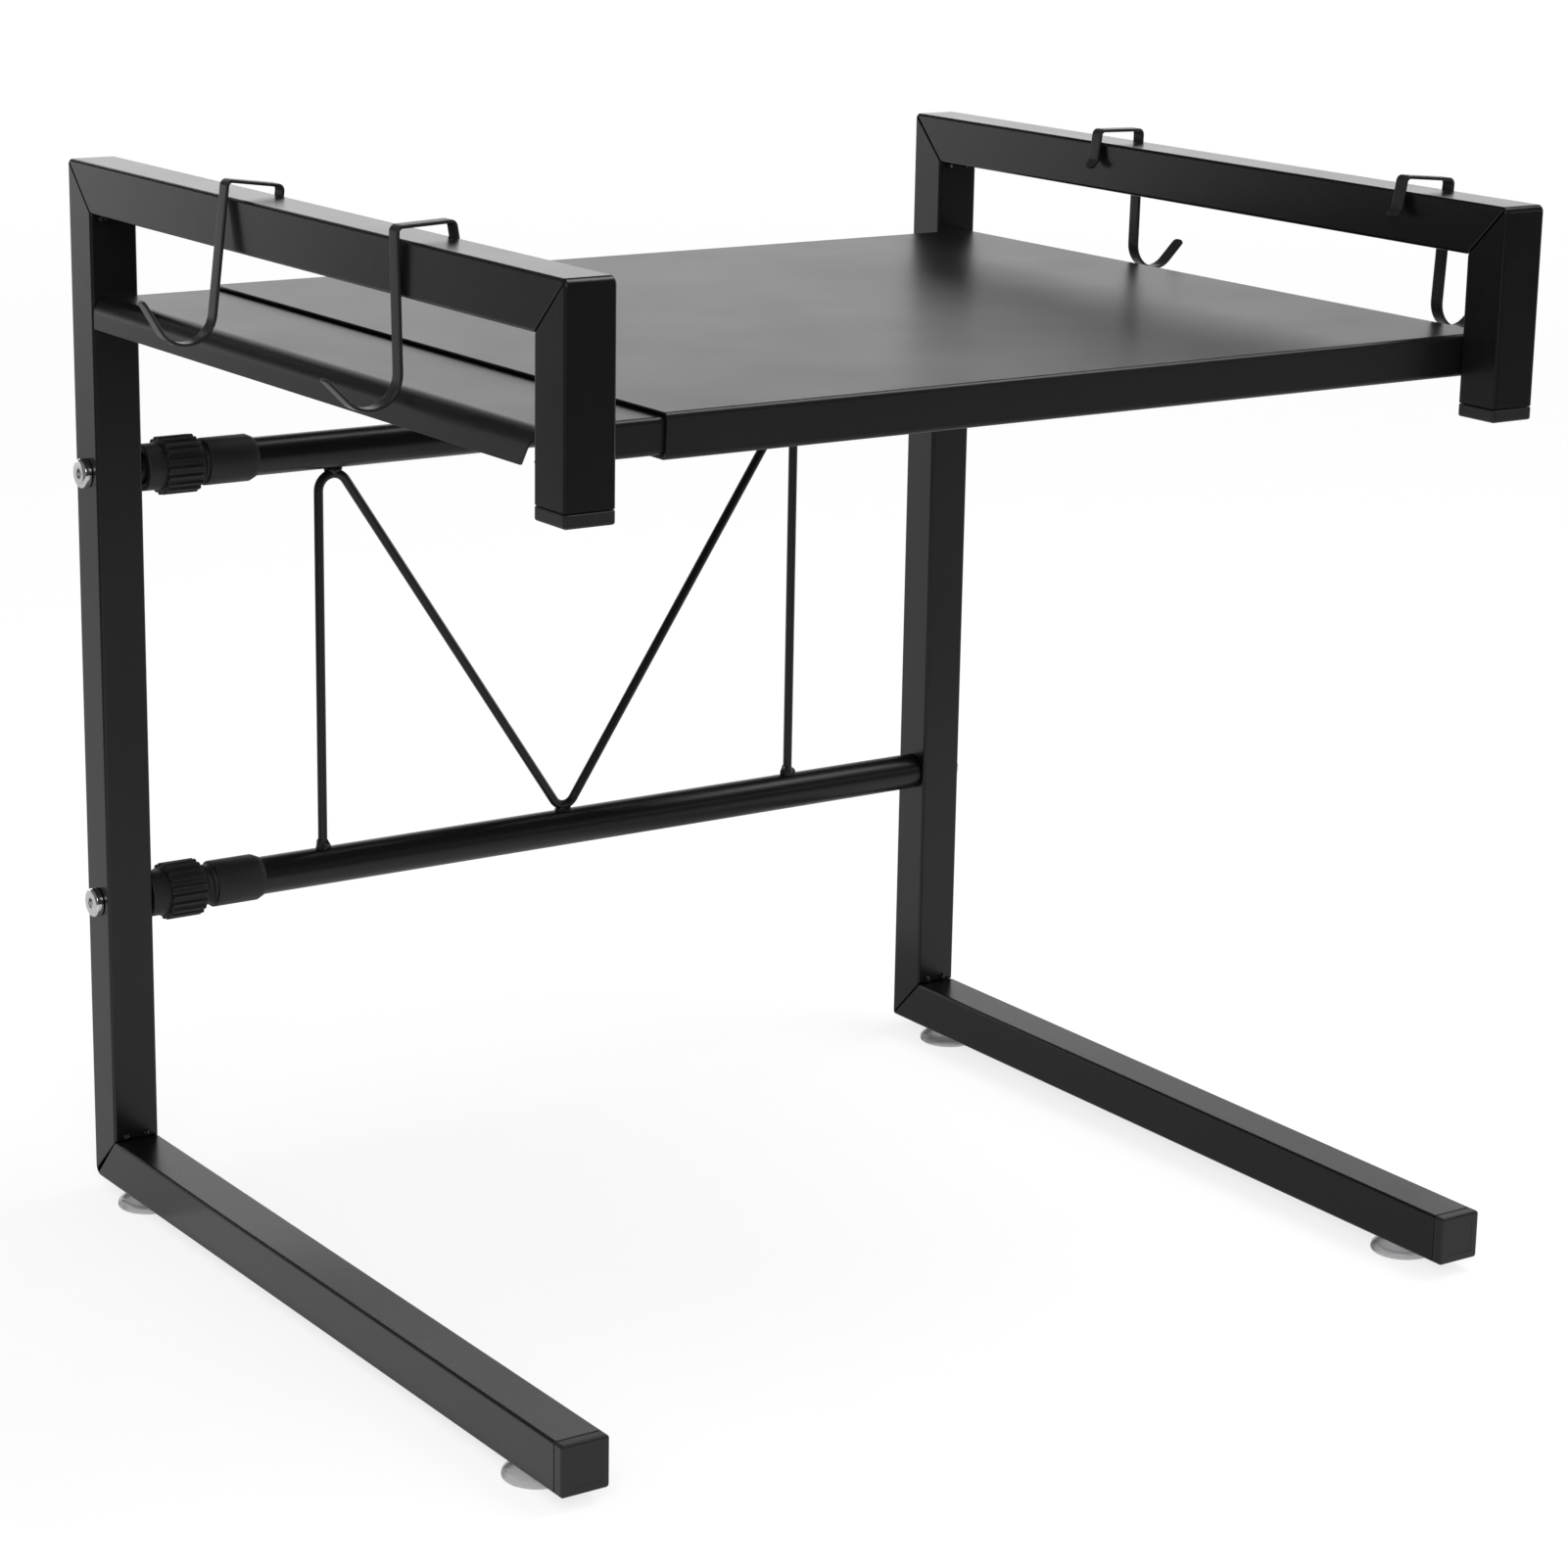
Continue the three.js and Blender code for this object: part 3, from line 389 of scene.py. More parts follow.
class Finish:
    """A node tree in the making, for a material or the world."""

    def __init__(self, owner, slot=None):
        self.owner = owner
        self.slot = slot
        owner.use_nodes = True
        self.tree = owner.node_tree
        self.tree.nodes.clear()

    def node(self, kind, settings=None, inputs=None, output=0):
        """A node of a kind, with its settings made first and then the values or links of its sockets."""
        made = self.tree.nodes.new(kind)
        for name, setting in (settings or {}).items():
            setattr(made, name, setting)
        for name, given in (inputs or {}).items():
            if isinstance(given, Value):
                self.tree.links.new(given.socket, made.inputs[name])
            else:
                made.inputs[name].default_value = given
        return Value(self, made.outputs[output])

    def noise(self, place, grain):
        inputs = {"Scale": grain.scale, "Detail": grain.detail, "Roughness": grain.roughness}
        return self.node("ShaderNodeTexNoise", None, {"Vector": place, **inputs})

    def blend(self, share, first, second):
        """A colour between two, which a Mix node takes at inputs 6 and 7 and gives at output 2."""
        return self.node("ShaderNodeMix", {"data_type": "RGBA"}, {0: share, 6: first, 7: second}, 2)

    def steps(self, value, low, high):
        """A value carried from 0 at low to 1 at high, smoothly and no further."""
        settings = {"interpolation_type": "SMOOTHSTEP"}
        inputs = {"Value": value, "From Min": low, "From Max": high}
        return self.node("ShaderNodeMapRange", settings, inputs)

    def bump(self, height, strength, distance):
        inputs = {"Strength": strength, "Distance": distance, "Height": height}
        return self.node("ShaderNodeBump", None, inputs)

    def surface(self, **inputs):
        """Ends the tree in a Principled surface whose sockets are given in plain names."""
        named = {}
        for name, given in inputs.items():
            named[name.replace("_", " ").title().replace("Ior", "IOR")] = given
        return self.end(self.node("ShaderNodeBsdfPrincipled", None, named))

    def end(self, shader):
        kind = "World" if isinstance(self.owner, bpy.types.World) else "Material"
        made = self.tree.nodes.new(f"ShaderNodeOutput{kind}")
        self.tree.links.new(shader.socket, made.inputs["Surface"])
        return self


def new_finish(name, slot=None):
    return Finish(bpy.data.materials.new(name), slot)


def powder_coat(name, least_roughness):
    """Satin black powder coat: a fine orange peel, faint specks and slow changes of gloss."""
    finish = new_finish(name, "powder_coat")
    place = finish.node("ShaderNodeTexCoord", output="Object")
    peel = finish.noise(place, COAT_PEEL)
    grain = finish.noise(place, COAT_GRAIN)
    cloud = finish.noise(place, COAT_CLOUD)
    specks = finish.steps(finish.noise(place, COAT_SPECK), *SPECK_FADE)
    tone = finish.blend(cloud, *COAT_TONES)
    colour = finish.blend(specks * SPECK_SHARE, tone, SPECK_TONE)
    roughness = least_roughness + CLOUD_ROUGHNESS * cloud + GRAIN_ROUGHNESS * grain
    normal = finish.bump(PEEL_SHARE * peel + (1 - PEEL_SHARE) * grain, COAT_RELIEF, COAT_DEPTH)
    return finish.surface(base_color=colour, roughness=roughness, ior=HARD_IOR, normal=normal)


def mottled(name, slot, look, **constants):
    """A finish whose tone and gloss follow its mottle. Constants are further inputs of its surface."""
    finish = new_finish(name, slot)
    place = finish.node("ShaderNodeTexCoord", output="Object")
    mottle = finish.noise(place, look.mottle)
    grain = finish.noise(place, look.grain)
    colour = finish.blend(mottle, *look.tones)
    roughness = look.roughness + look.spread * mottle
    height = (1 - look.mottle_share) * grain + look.mottle_share * mottle
    normal = finish.bump(height, look.relief, look.depth)
    return finish.surface(base_color=colour, roughness=roughness, normal=normal, **constants)


FINISHES = {
    "tube_coat": powder_coat("satin_black_tube_coat", TUBE_ROUGHNESS),
    "sheet_coat": powder_coat("satin_black_sheet_coat", SHEET_ROUGHNESS),
    "rail_coat": powder_coat("satin_black_rail_coat", RAIL_ROUGHNESS),
    "cap_plastic": mottled("moulded_cap_plastic", "black_plastic", CAP_PLASTIC, ior=HARD_IOR),
    # The locks' finish: the caps' plastic with its tones darkened as painted shade
    "lock_plastic": mottled("moulded_plastic_darkened_for_shade", "black_plastic", SHADED_LOCK_PLASTIC, ior=HARD_IOR),
    "hook_strip": mottled("painted_hook_strip", "black_strip", HOOK_PAINT, ior=HARD_IOR),
    "chrome": mottled("bright_plated_screw", "chrome", SCREW_PLATING, metallic=1),
    "zinc": mottled("dull_zinc_insert", "zinc", INSERT_PLATING, metallic=1),
    "white_plastic": mottled("slippery_white_plastic", "white_plastic", BUSH_PLASTIC, ior=HARD_IOR),
    # The cups' finish: clear plastic whose greyer tint is partly painted shade
    "clear_plastic": mottled("soft_clear_plastic_greyed_for_shade", "clear_plastic", FOOT_PLASTIC_GREYED_FOR_SHADE, ior=FOOT_IOR,
                             transmission_weight=FOOT_CLEARNESS),
}


# Meshes in the making

class Shape:
    """A mesh in the making: rings of points with walls between them."""

    def __init__(self):
        self.mesh = bmesh.new()

    def ring(self, points):
        return [self.mesh.verts.new(point) for point in points]

    def wall(self, first, second):
        for i in range(len(first)):
            j = (i + 1) % len(first)
            self.mesh.faces.new((first[i], first[j], second[j], second[i]))

    def skin(self, rings, closed=False, ends=False):
        """Walls along a list of rings. Closed joins the last ring to the first; ends fills both of them."""
        made = [self.ring(points) for points in rings]
        for first, second in zip(made, made[1:]):
            self.wall(first, second)
        if closed:
            self.wall(made[-1], made[0])
        if ends:
            self.mesh.faces.new(made[0])
            self.mesh.faces.new(made[-1])

    def lump(self, centre, radii):
        """A blob of weld: an uneven ball stretched to three radii."""
        made = bmesh.ops.create_icosphere(self.mesh, subdivisions=WELD_DIVISIONS, radius=1)
        for vert in made["verts"]:
            swell = 1 + WELD_UNEVENNESS * noise.noise(vert.co * WELD_WAVES + centre / MM)
            reach = Vector(vert.co[i] * radii[i] for i in range(3))
            vert.co = centre + reach * swell


def new_object(name, data):
    made = bpy.data.objects.new(name, data)
    bpy.context.scene.collection.objects.link(made)
    return made


def stand_for(shape, node, name, finish):
    """Makes the mesh the piece that stands for a CAD node, on the node's body and in a finish."""
    bmesh.ops.remove_doubles(shape.mesh, verts=shape.mesh.verts, dist=MERGE)
    bmesh.ops.recalc_face_normals(shape.mesh, faces=shape.mesh.faces)
    mesh = bpy.data.meshes.new(name)
    shape.mesh.to_mesh(mesh)
    shape.mesh.free()
    mesh.shade_smooth()
    mesh.set_sharp_from_angle(angle=SHARP)
    mesh.materials.append(FINISHES[finish].owner)
    piece = new_object(name, mesh)
    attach(piece, BODY_OF[node])
    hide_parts(node)
    return piece


def even_shading(piece):
    """Flat faces shade flat, and the bends between them take up the turn."""
    modifier = piece.modifiers.new("even_shading", "WEIGHTED_NORMAL")
    modifier.keep_sharp = True
    modifier.weight = FACE_WEIGHT


def middle_of(node):
    low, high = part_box(node)
    return (low + high) / 2


def radius_of(node):
    """Half the height of a round piece that lies along X."""
    low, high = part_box(node)
    return (high.z - low.z) / 2


def smooth_step(low, high, value):
    share = min(max((value - low) / (high - low), 0), 1)
    return share * share * (3 - 2 * share)


def round_over(start, end, steps=ROUND_STEPS):
    """Points of a quarter ellipse between two profile points, leaving its start along the first measure."""
    points = []
    for step in range(steps + 1):
        angle = QUARTER * step / steps
        first = start[0] + (end[0] - start[0]) * math.sin(angle)
        second = end[1] + (start[1] - end[1]) * math.cos(angle)
        points.append((first, second))
    return points


def rounded_section(half_first, half_second, corner, steps):
    """A rectangle with rounded corners, as pairs of measures from its middle."""
    points = []
    for quarter in range(4):
        middle = QUARTER * (quarter + 0.5)
        for step in range(steps + 1):
            angle = QUARTER * (quarter + step / steps)
            first = math.copysign(half_first - corner, math.cos(middle)) + corner * math.cos(angle)
            second = math.copysign(half_second - corner, math.sin(middle)) + corner * math.sin(angle)
            points.append((first, second))
    return points


def bent_line(start, heading, moves):
    """The middle line of a bent strip, sheet or wire as (across, up, angle), from a start and a heading.
    A move is (straight length, turn in degrees, radius of the turn), with left turns positive."""
    across, up = start
    angle = math.radians(heading)
    line = [(across, up, angle)]
    for length, turn, radius in moves:
        across += length * math.cos(angle)
        up += length * math.sin(angle)
        if length > 0:
            line.append((across, up, angle))
        side = math.copysign(1, turn)
        centre = (across - side * radius * math.sin(angle), up + side * radius * math.cos(angle))
        steps = math.ceil(abs(turn) * BEND_STEPS / 90)
        for step in range(1, steps + 1):
            turned_to = angle + math.radians(turn) * step / steps
            across = centre[0] + side * radius * math.sin(turned_to)
            up = centre[1] - side * radius * math.cos(turned_to)
            line.append((across, up, turned_to))
        angle += math.radians(turn)
    return line


def backwards(line):
    return [(across, up, angle + math.pi) for across, up, angle in reversed(line)]


# Side frames

def tube_section(size, inset):
    """Round the square tube, as pairs of (across, depth below its outer wall)."""
    half = size / 2 - inset
    corner = max(TUBE_CORNER - inset, LEAST_CORNER)
    return [(across, size / 2 - up) for across, up in rounded_section(half, half, corner, CORNER_STEPS)]


def fold_point(size, across, depth, fold, turn, edge):
    """A point of the section carried round a fold, as (across, depth, distance back from the corner)."""
    swing = fold.radius - depth
    sunk = depth
    back = depth + FOLD_APPROACH * (1 - turn / HALF_QUARTER)
    if swing > 0:
        sunk = fold.radius - swing * math.cos(turn)
        back = fold.radius - swing * math.sin(turn)
    if depth > SLIT_START:
        slit = fold.outer_slit + (fold.inner_slit - fold.outer_slit) * depth / size
        back = max(back, sunk + slit / ROOT_TWO + edge * ROOT_TWO)
    return across, sunk, back


def tube_end(size, inset, edge, fold):
    """Rings of the tube's outer or inner wall at one end, as (across, depth, distance back from it)."""
    section = tube_section(size, inset)
    trimmed = tube_section(size, inset + edge)
    if fold is None:
        before = [(across, depth, TUBE_EDGE) for across, depth in section]
        return [before, [(across, depth, 0) for across, depth in trimmed]]
    rings = [[(across, depth, size + FOLD_APPROACH) for across, depth in section]]
    for step in range(FOLD_STEPS + 1):
        turn = HALF_QUARTER * step / FOLD_STEPS
        rings.append([fold_point(size, *point, fold, turn, TUBE_EDGE) for point in section])
    last = []
    for whole, cut in zip(section, trimmed):
        point = cut if whole[1] > SLIT_START else whole
        last.append(fold_point(size, *point, fold, HALF_QUARTER, 0))
    return rings + [last]


def square_tube(node, corner, along, outward, length, folds, tacks=()):
    """A hollow square tube from a corner point on its outer wall, with a fold or a sawn end at each end."""
    low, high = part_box(node)
    size = high.x - low.x

    def placed(rings, at_end):
        made = []
        for ring in rings:
            places = [length - back if at_end else back for _, _, back in ring]
            made.append([
                corner + ALONG_X * across - outward * depth + along * place
                for (across, depth, _), place in zip(ring, places)
            ])
        return made

    outside = [placed(tube_end(size, 0, TUBE_EDGE, fold), i == 1) for i, fold in enumerate(folds)]
    inside = [placed(tube_end(size, TUBE_WALL, -TUBE_EDGE, fold), i == 1) for i, fold in enumerate(folds)]
    rings = outside[0][::-1] + outside[1] + inside[1][::-1] + inside[0]
    shape = Shape()
    shape.skin(rings, closed=True)
    for tack in tacks:
        shape.lump(tack, (TACK_RADIUS,) * 3)
    piece = stand_for(shape, node, f"{node}_tube", "tube_coat")
    even_shading(piece)


def add_side_frame(side):
    post_low, post_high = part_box(f"{side}_rear_post")
    x = (post_low.x + post_high.x) / 2
    size = post_high.x - post_low.x
    back = post_high.y
    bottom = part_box(f"{side}_foot_rail")[0].z
    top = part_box(f"{side}_top_rail")[1].z
    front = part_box(f"{side}_drop_post")[0].y
    rail_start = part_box(f"{side}_foot_rail")[0].y
    drop_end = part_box(f"{side}_drop_post")[0].z
    bottom_fold, top_fold, front_fold = (FOLDS[f"{side}_{place}"] for place in ("bottom", "top", "front"))

    def tacks(y, z):
        return [Vector((x + offset, y, z)) for offset in TACK_OFFSETS]

    lower_tacks = tacks(back - size, bottom + size + TACK_SETBACK)
    upper_tacks = tacks(back - size, top - size - TACK_SETBACK)
    front_tacks = tacks(front + size, top - size - TACK_SETBACK)
    square_tube(f"{side}_foot_rail", Vector((x, rail_start, bottom)), ALONG_Y, -ALONG_Z,
                back - rail_start, (None, bottom_fold))
    square_tube(f"{side}_rear_post", Vector((x, back, bottom)), ALONG_Z, ALONG_Y,
                top - bottom, (bottom_fold, top_fold), lower_tacks + upper_tacks)
    square_tube(f"{side}_top_rail", Vector((x, back, top)), -ALONG_Y, ALONG_Z,
                back - front, (top_fold, front_fold))
    square_tube(f"{side}_drop_post", Vector((x, front, top)), -ALONG_Z, -ALONG_Y,
                top - drop_end, (front_fold, None), front_tacks)


def end_cap(node, outward):
    """A plug with a square flange, rounded towards its visible end face along the outward direction."""
    low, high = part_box(node)
    size = high.x - low.x
    plug_length = max(high - low) - CAP_FLANGE
    plug_inset = TUBE_WALL + SEAT
    face = low if min(outward) < 0 else high
    seat = middle_of(node)
    seat += outward * ((face - seat).dot(outward) - CAP_FLANGE)
    up = ALONG_X.cross(outward)
    profile = [
        (0, plug_inset + CAP_PLUG_WALL),
        (-plug_length, plug_inset + CAP_PLUG_WALL),
        (-plug_length, plug_inset + CUT_EDGE),
        (-plug_length + CUT_EDGE, plug_inset),
        (0, plug_inset),
        (0, CAP_BACK_EDGE),
        (CAP_BACK_EDGE, 0),
        *round_over((CAP_FLANGE - CAP_EDGE, 0), (CAP_FLANGE, CAP_EDGE)),
        (CAP_FLANGE, CAP_BORDER),
        (CAP_FLANGE - CAP_SINK, CAP_BORDER + CAP_SINK),
    ]
    rings = []
    for height, inset in profile:
        middle = seat + outward * height
        section = tube_section(size, inset)
        rings.append([middle + ALONG_X * across + up * (size / 2 - depth) for across, depth in section])
    shape = Shape()
    shape.skin(rings, ends=True)
    piece = stand_for(shape, node, f"{node}_moulding", "cap_plastic")
    even_shading(piece)


# Turned pieces

def turned(shape, profile, place, steps, relief=None, closed=False):
    """Turns a profile of (along, radius, amount of relief) about an axis. place gives a point from its
    distance along the axis, its radius and its angle, and relief a share from along and angle."""
    rings = []
    for along, radius, amount in profile:
        ring = []
        for step in range(steps):
            angle = math.tau * step / steps
            raised = amount * relief(along, angle) if amount else 0
            ring.append(place(along, radius + raised, angle))
        rings.append(ring)
    shape.skin(rings, closed=closed)


def plain(profile):
    """A profile without relief."""
    return [(along, radius, 0) for along, radius in profile]


def about_x(centre):
    def place(along, radius, angle):
        return Vector((along, centre.y + radius * math.cos(angle), centre.z + radius * math.sin(angle)))
    return place


def suction_foot(node):
    low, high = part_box(node)
    centre = (low + high) / 2
    rim = (high.x - low.x) / 2
    head_top = high.z
    head_bottom = head_top - FOOT_HEAD_HEIGHT
    shoulder = head_bottom - TUBE_WALL - 2 * SEAT
    cup = [(low.z + along, radius) for along, radius in round_over((0, rim - FOOT_RIM), (FOOT_HOLLOW, 0))]
    dome_top = low.z + FOOT_EDGE + FOOT_DOME
    profile = [
        *cup[::-1],
        (low.z, rim - FOOT_LOWER_EDGE),
        (low.z + FOOT_LOWER_EDGE, rim),
        *round_over((low.z + FOOT_EDGE, rim), (dome_top, FOOT_NECK)),
        *round_over((shoulder - FOOT_EDGE, FOOT_NECK), (shoulder, FOOT_NECK - FOOT_EDGE)),
        (shoulder, FOOT_STEM),
        (head_bottom, FOOT_STEM),
        (head_bottom, FOOT_HEAD),
        *round_over((head_bottom + FOOT_EDGE, FOOT_HEAD), (head_top, FOOT_STEM)),
        (head_top, 0),
    ]

    def place(along, radius, angle):
        return Vector((centre.x + radius * math.cos(angle), centre.y + radius * math.sin(angle), along))

    shape = Shape()
    turned(shape, plain(profile), place, TURNED_STEPS)
    stand_for(shape, node, f"{node}_cup", "clear_plastic")


def rail_tube(node, name):
    """A round tube along X with softened ends."""
    low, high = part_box(node)
    radius = radius_of(node)
    bore = radius - RAIL_WALL
    profile = [
        (low.x, bore + TUBE_END_EDGE),
        (low.x, radius - TUBE_END_EDGE),
        (low.x + TUBE_END_EDGE, radius),
        (high.x - TUBE_END_EDGE, radius),
        (high.x, radius - TUBE_END_EDGE),
        (high.x, bore + TUBE_END_EDGE),
        (high.x - TUBE_END_EDGE, bore),
        (low.x + TUBE_END_EDGE, bore),
    ]
    shape = Shape()
    turned(shape, plain(profile), about_x(middle_of(node)), TURNED_STEPS, closed=True)
    stand_for(shape, node, name, "rail_coat")


def lock_sleeve(level):
    """The sleeve on the outer tube's end, with a threaded spigot for the nut."""
    node = f"{level}_lock_sleeve"
    low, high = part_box(node)
    radius = radius_of(node)
    passage = radius_of(f"{level}_inner_tube") + GLIDE
    spigot = passage + SPIGOT_WALL
    bore = radius_of(f"{level}_outer_tube") + SEAT
    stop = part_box(f"{level}_outer_tube")[0].x - SEAT
    left = stop - SLEEVE_SHOULDER

    def thread(along, angle):
        return 0.5 - 0.5 * math.cos(math.tau * along / THREAD_PITCH - angle)

    threaded = []
    rings = round((left - low.x) / THREAD_PITCH * THREAD_RINGS)
    for ring in range(rings + 1):
        along = low.x + (left - low.x) * ring / rings
        fade = smooth_step(0, THREAD_PITCH, along - low.x)
        threaded.append((along, spigot - THREAD_DEPTH * (1 - fade), -THREAD_DEPTH * fade))
    profile = [
        *plain([(low.x, passage)]),
        *threaded,
        *plain([
            *round_over((left + SLEEVE_EDGE, radius), (left, radius - SLEEVE_EDGE))[::-1],
            (high.x - SLEEVE_TAPER, radius),
            (high.x, bore + SLEEVE_END_WALL),
            (high.x, bore),
            (stop, bore),
            (stop, passage),
        ]),
    ]
    shape = Shape()
    turned(shape, profile, about_x(middle_of(node)), TURNED_STEPS, thread, closed=True)
    stand_for(shape, node, f"{level}_lock_sleeve_moulding", "lock_plastic")


def lock_nut(level):
    """The nut: a plain nose, a ribbed grip, a plain skirt towards the sleeve, and its bore."""
    node = f"{level}_lock_nut"
    low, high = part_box(node)
    passage = radius_of(f"{level}_inner_tube") + GLIDE
    root = radius_of(node) - NUT_RIB
    bore = root - NUT_WALL
    nose = passage + NOSE_WALL
    left = low.x + NOSE_LENGTH
    right = high.x - NUT_SKIRT
    skirt = root - NUT_SKIRT_STEP
    profile = [
        *plain([(low.x, passage + CUT_EDGE)]),
        *plain(round_over((low.x + NUT_CHAMFER, nose), (low.x, nose - NUT_CHAMFER))[::-1]),
        *plain([(left, nose)]),
        (left, root - RIB_EDGE, NUT_RIB),
        (left + RIB_EDGE, root, NUT_RIB),
        (right - RIB_EDGE, root, NUT_RIB),
        (right, root - RIB_EDGE, NUT_RIB),
        *plain([
            (right, skirt),
            (high.x - CUT_EDGE, skirt),
            (high.x, skirt - CUT_EDGE),
            (high.x, bore + CUT_EDGE),
            (high.x - CUT_EDGE, bore),
            (left, bore),
            (left, passage),
            (low.x + CUT_EDGE, passage),
        ]),
    ]

    def rib(along, angle):
        turn = angle / math.tau * NUT_RIBS
        aside = abs(turn - round(turn)) * 2
        return 1 - smooth_step(RIB_TOP_SHARE, RIB_FOOT_SHARE, aside)

    shape = Shape()
    turned(shape, profile, about_x(middle_of(node)), NUT_RIBS * RIB_STEPS, rib, closed=True)
    stand_for(shape, node, f"{level}_lock_nut_moulding", "lock_plastic")


def rail_screw(node, head_side):
    """A screw with a flat round head on the side of -1, left, or +1, right."""
    low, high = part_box(node)
    radius = radius_of(node)
    crown = low.x if head_side < 0 else high.x
    tip = high.x if head_side < 0 else low.x
    length = abs(tip - crown)
    under = SCREW_HEAD_HEIGHT
    rounding = round_over((SCREW_ROUND, radius), (0, radius - SCREW_ROUND))
    profile = [
        *plain([(length, 0), (length, SCREW_SHANK - CUT_EDGE), (length - CUT_EDGE, SCREW_SHANK)]),
        *plain([(under, SCREW_SHANK), (under, radius - CUT_EDGE), (under - CUT_EDGE, radius)]),
        *plain(rounding),
        (0, SOCKET_HALF + CUT_EDGE, SOCKET_HALF),
        (CUT_EDGE, SOCKET_HALF, SOCKET_HALF),
        (SOCKET_DEPTH, SOCKET_HALF, SOCKET_HALF),
        *plain([(SOCKET_DEPTH + SOCKET_CONE, 0)]),
    ]
    centre = middle_of(node)

    def place(along, across, angle):
        x = crown - head_side * along
        return Vector((x, centre.y + across * math.cos(angle), centre.z + across * math.sin(angle)))

    def hexagon(along, angle):
        sixth = math.tau / 6
        return 1 / math.cos(angle % sixth - sixth / 2) - 1

    shape = Shape()
    turned(shape, profile, place, TURNED_STEPS, hexagon)
    stand_for(shape, node, f"{node}_plated", "chrome")


def add_rails():
    for level in LEVELS:
        rail_tube(f"{level}_outer_tube", f"{level}_outer_rail")
        rail_tube(f"{level}_inner_tube", f"{level}_inner_rail")
        lock_sleeve(level)
        lock_nut(level)
        rail_screw(f"{level}_left_screw", -1)
        rail_screw(f"{level}_right_screw", 1)


# Shelf sheets

def folded_sheet(node, outward, half_depth, lip, free_edge):
    """One sheet of the shelf, drawn on the middle of its thickness: pan, flanges, lips and end flange."""
    low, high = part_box(node)
    end = high.x if outward > 0 else low.x
    end_half = high.y - SHEET / 2
    top = high.z - SHEET / 2
    bottom = low.z + SHEET / 2
    bend = SHEET_BEND + SHEET / 2
    run = (top - bottom - 2 * bend) / math.cos(math.radians(FLANGE_LEAN))
    edge = half_depth - SHEET / 2 - bend
    rear = bent_line((edge, top), 0, [
        (0, -90 - FLANGE_LEAN, bend),
        (run, FLANGE_LEAN - 90, bend),
        (lip - SHEET / 2 - bend, 0, 0),
    ])
    profile = [(-y, z) for y, z, _ in reversed(rear)] + [(y, z) for y, z, _ in rear]
    end_bend = END_BEND + SHEET / 2
    bend_start = end - outward * (END_BEND + SHEET)
    end_line = bent_line((0, top), 0, [(0, -90, end_bend), (top - end_bend - bottom, 0, 0)])

    shape = Shape()
    free = shape.ring([Vector((free_edge, y, z)) for y, z in profile])
    bent = shape.ring([Vector((bend_start, y, z)) for y, z in profile])
    for i in range(len(profile) - 1):
        shape.mesh.faces.new((free[i], free[i + 1], bent[i + 1], bent[i]))
    rows = []
    for i, (along, z, _) in enumerate(end_line):
        x = bend_start + outward * along
        half = edge if i == 0 else end_half
        cut = END_FLANGE_CUT * (top - z) / (top - bottom)
        rows.append(shape.ring([Vector((x, cut - half, z)), Vector((x, half, z))]))
    for first, second in zip(rows, rows[1:]):
        shape.mesh.faces.new((first[0], first[1], second[1], second[0]))
    piece = stand_for(shape, node, f"{node}_sheet", "sheet_coat")
    thickness = piece.modifiers.new("sheet_thickness", "SOLIDIFY")
    thickness.thickness = SHEET
    thickness.offset = 0
    thickness.use_even_offset = True
    softened = piece.modifiers.new("softened_edges", "BEVEL")
    softened.width = SHEET_EDGE
    softened.segments = SHEET_EDGE_STEPS
    softened.limit_method = "ANGLE"
    softened.angle_limit = SHEET_EDGE_TURN
    even_shading(piece)


def add_shelf():
    right_low, right_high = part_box("right_shelf_tray")
    left_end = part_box("left_shelf_tray")[1].x
    folded_sheet("right_shelf_tray", 1, right_high.y, SHELF_LIP, right_low.x)
    folded_sheet("left_shelf_tray", -1, right_high.y - SHEET - GLIDE, SHELF_LIP - SHEET, left_end)


# Wire truss and strip hooks

def swept(shape, stations, place):
    """A bar along stations of (across, up, angle, section), where a section is pairs of (beside, deep)."""
    rings = []
    for across, up, angle, section in stations:
        ring = []
        for beside, deep in section:
            ring.append(place(across - beside * math.sin(angle), up + beside * math.cos(angle), deep))
        rings.append(ring)
    shape.skin(rings, ends=True)


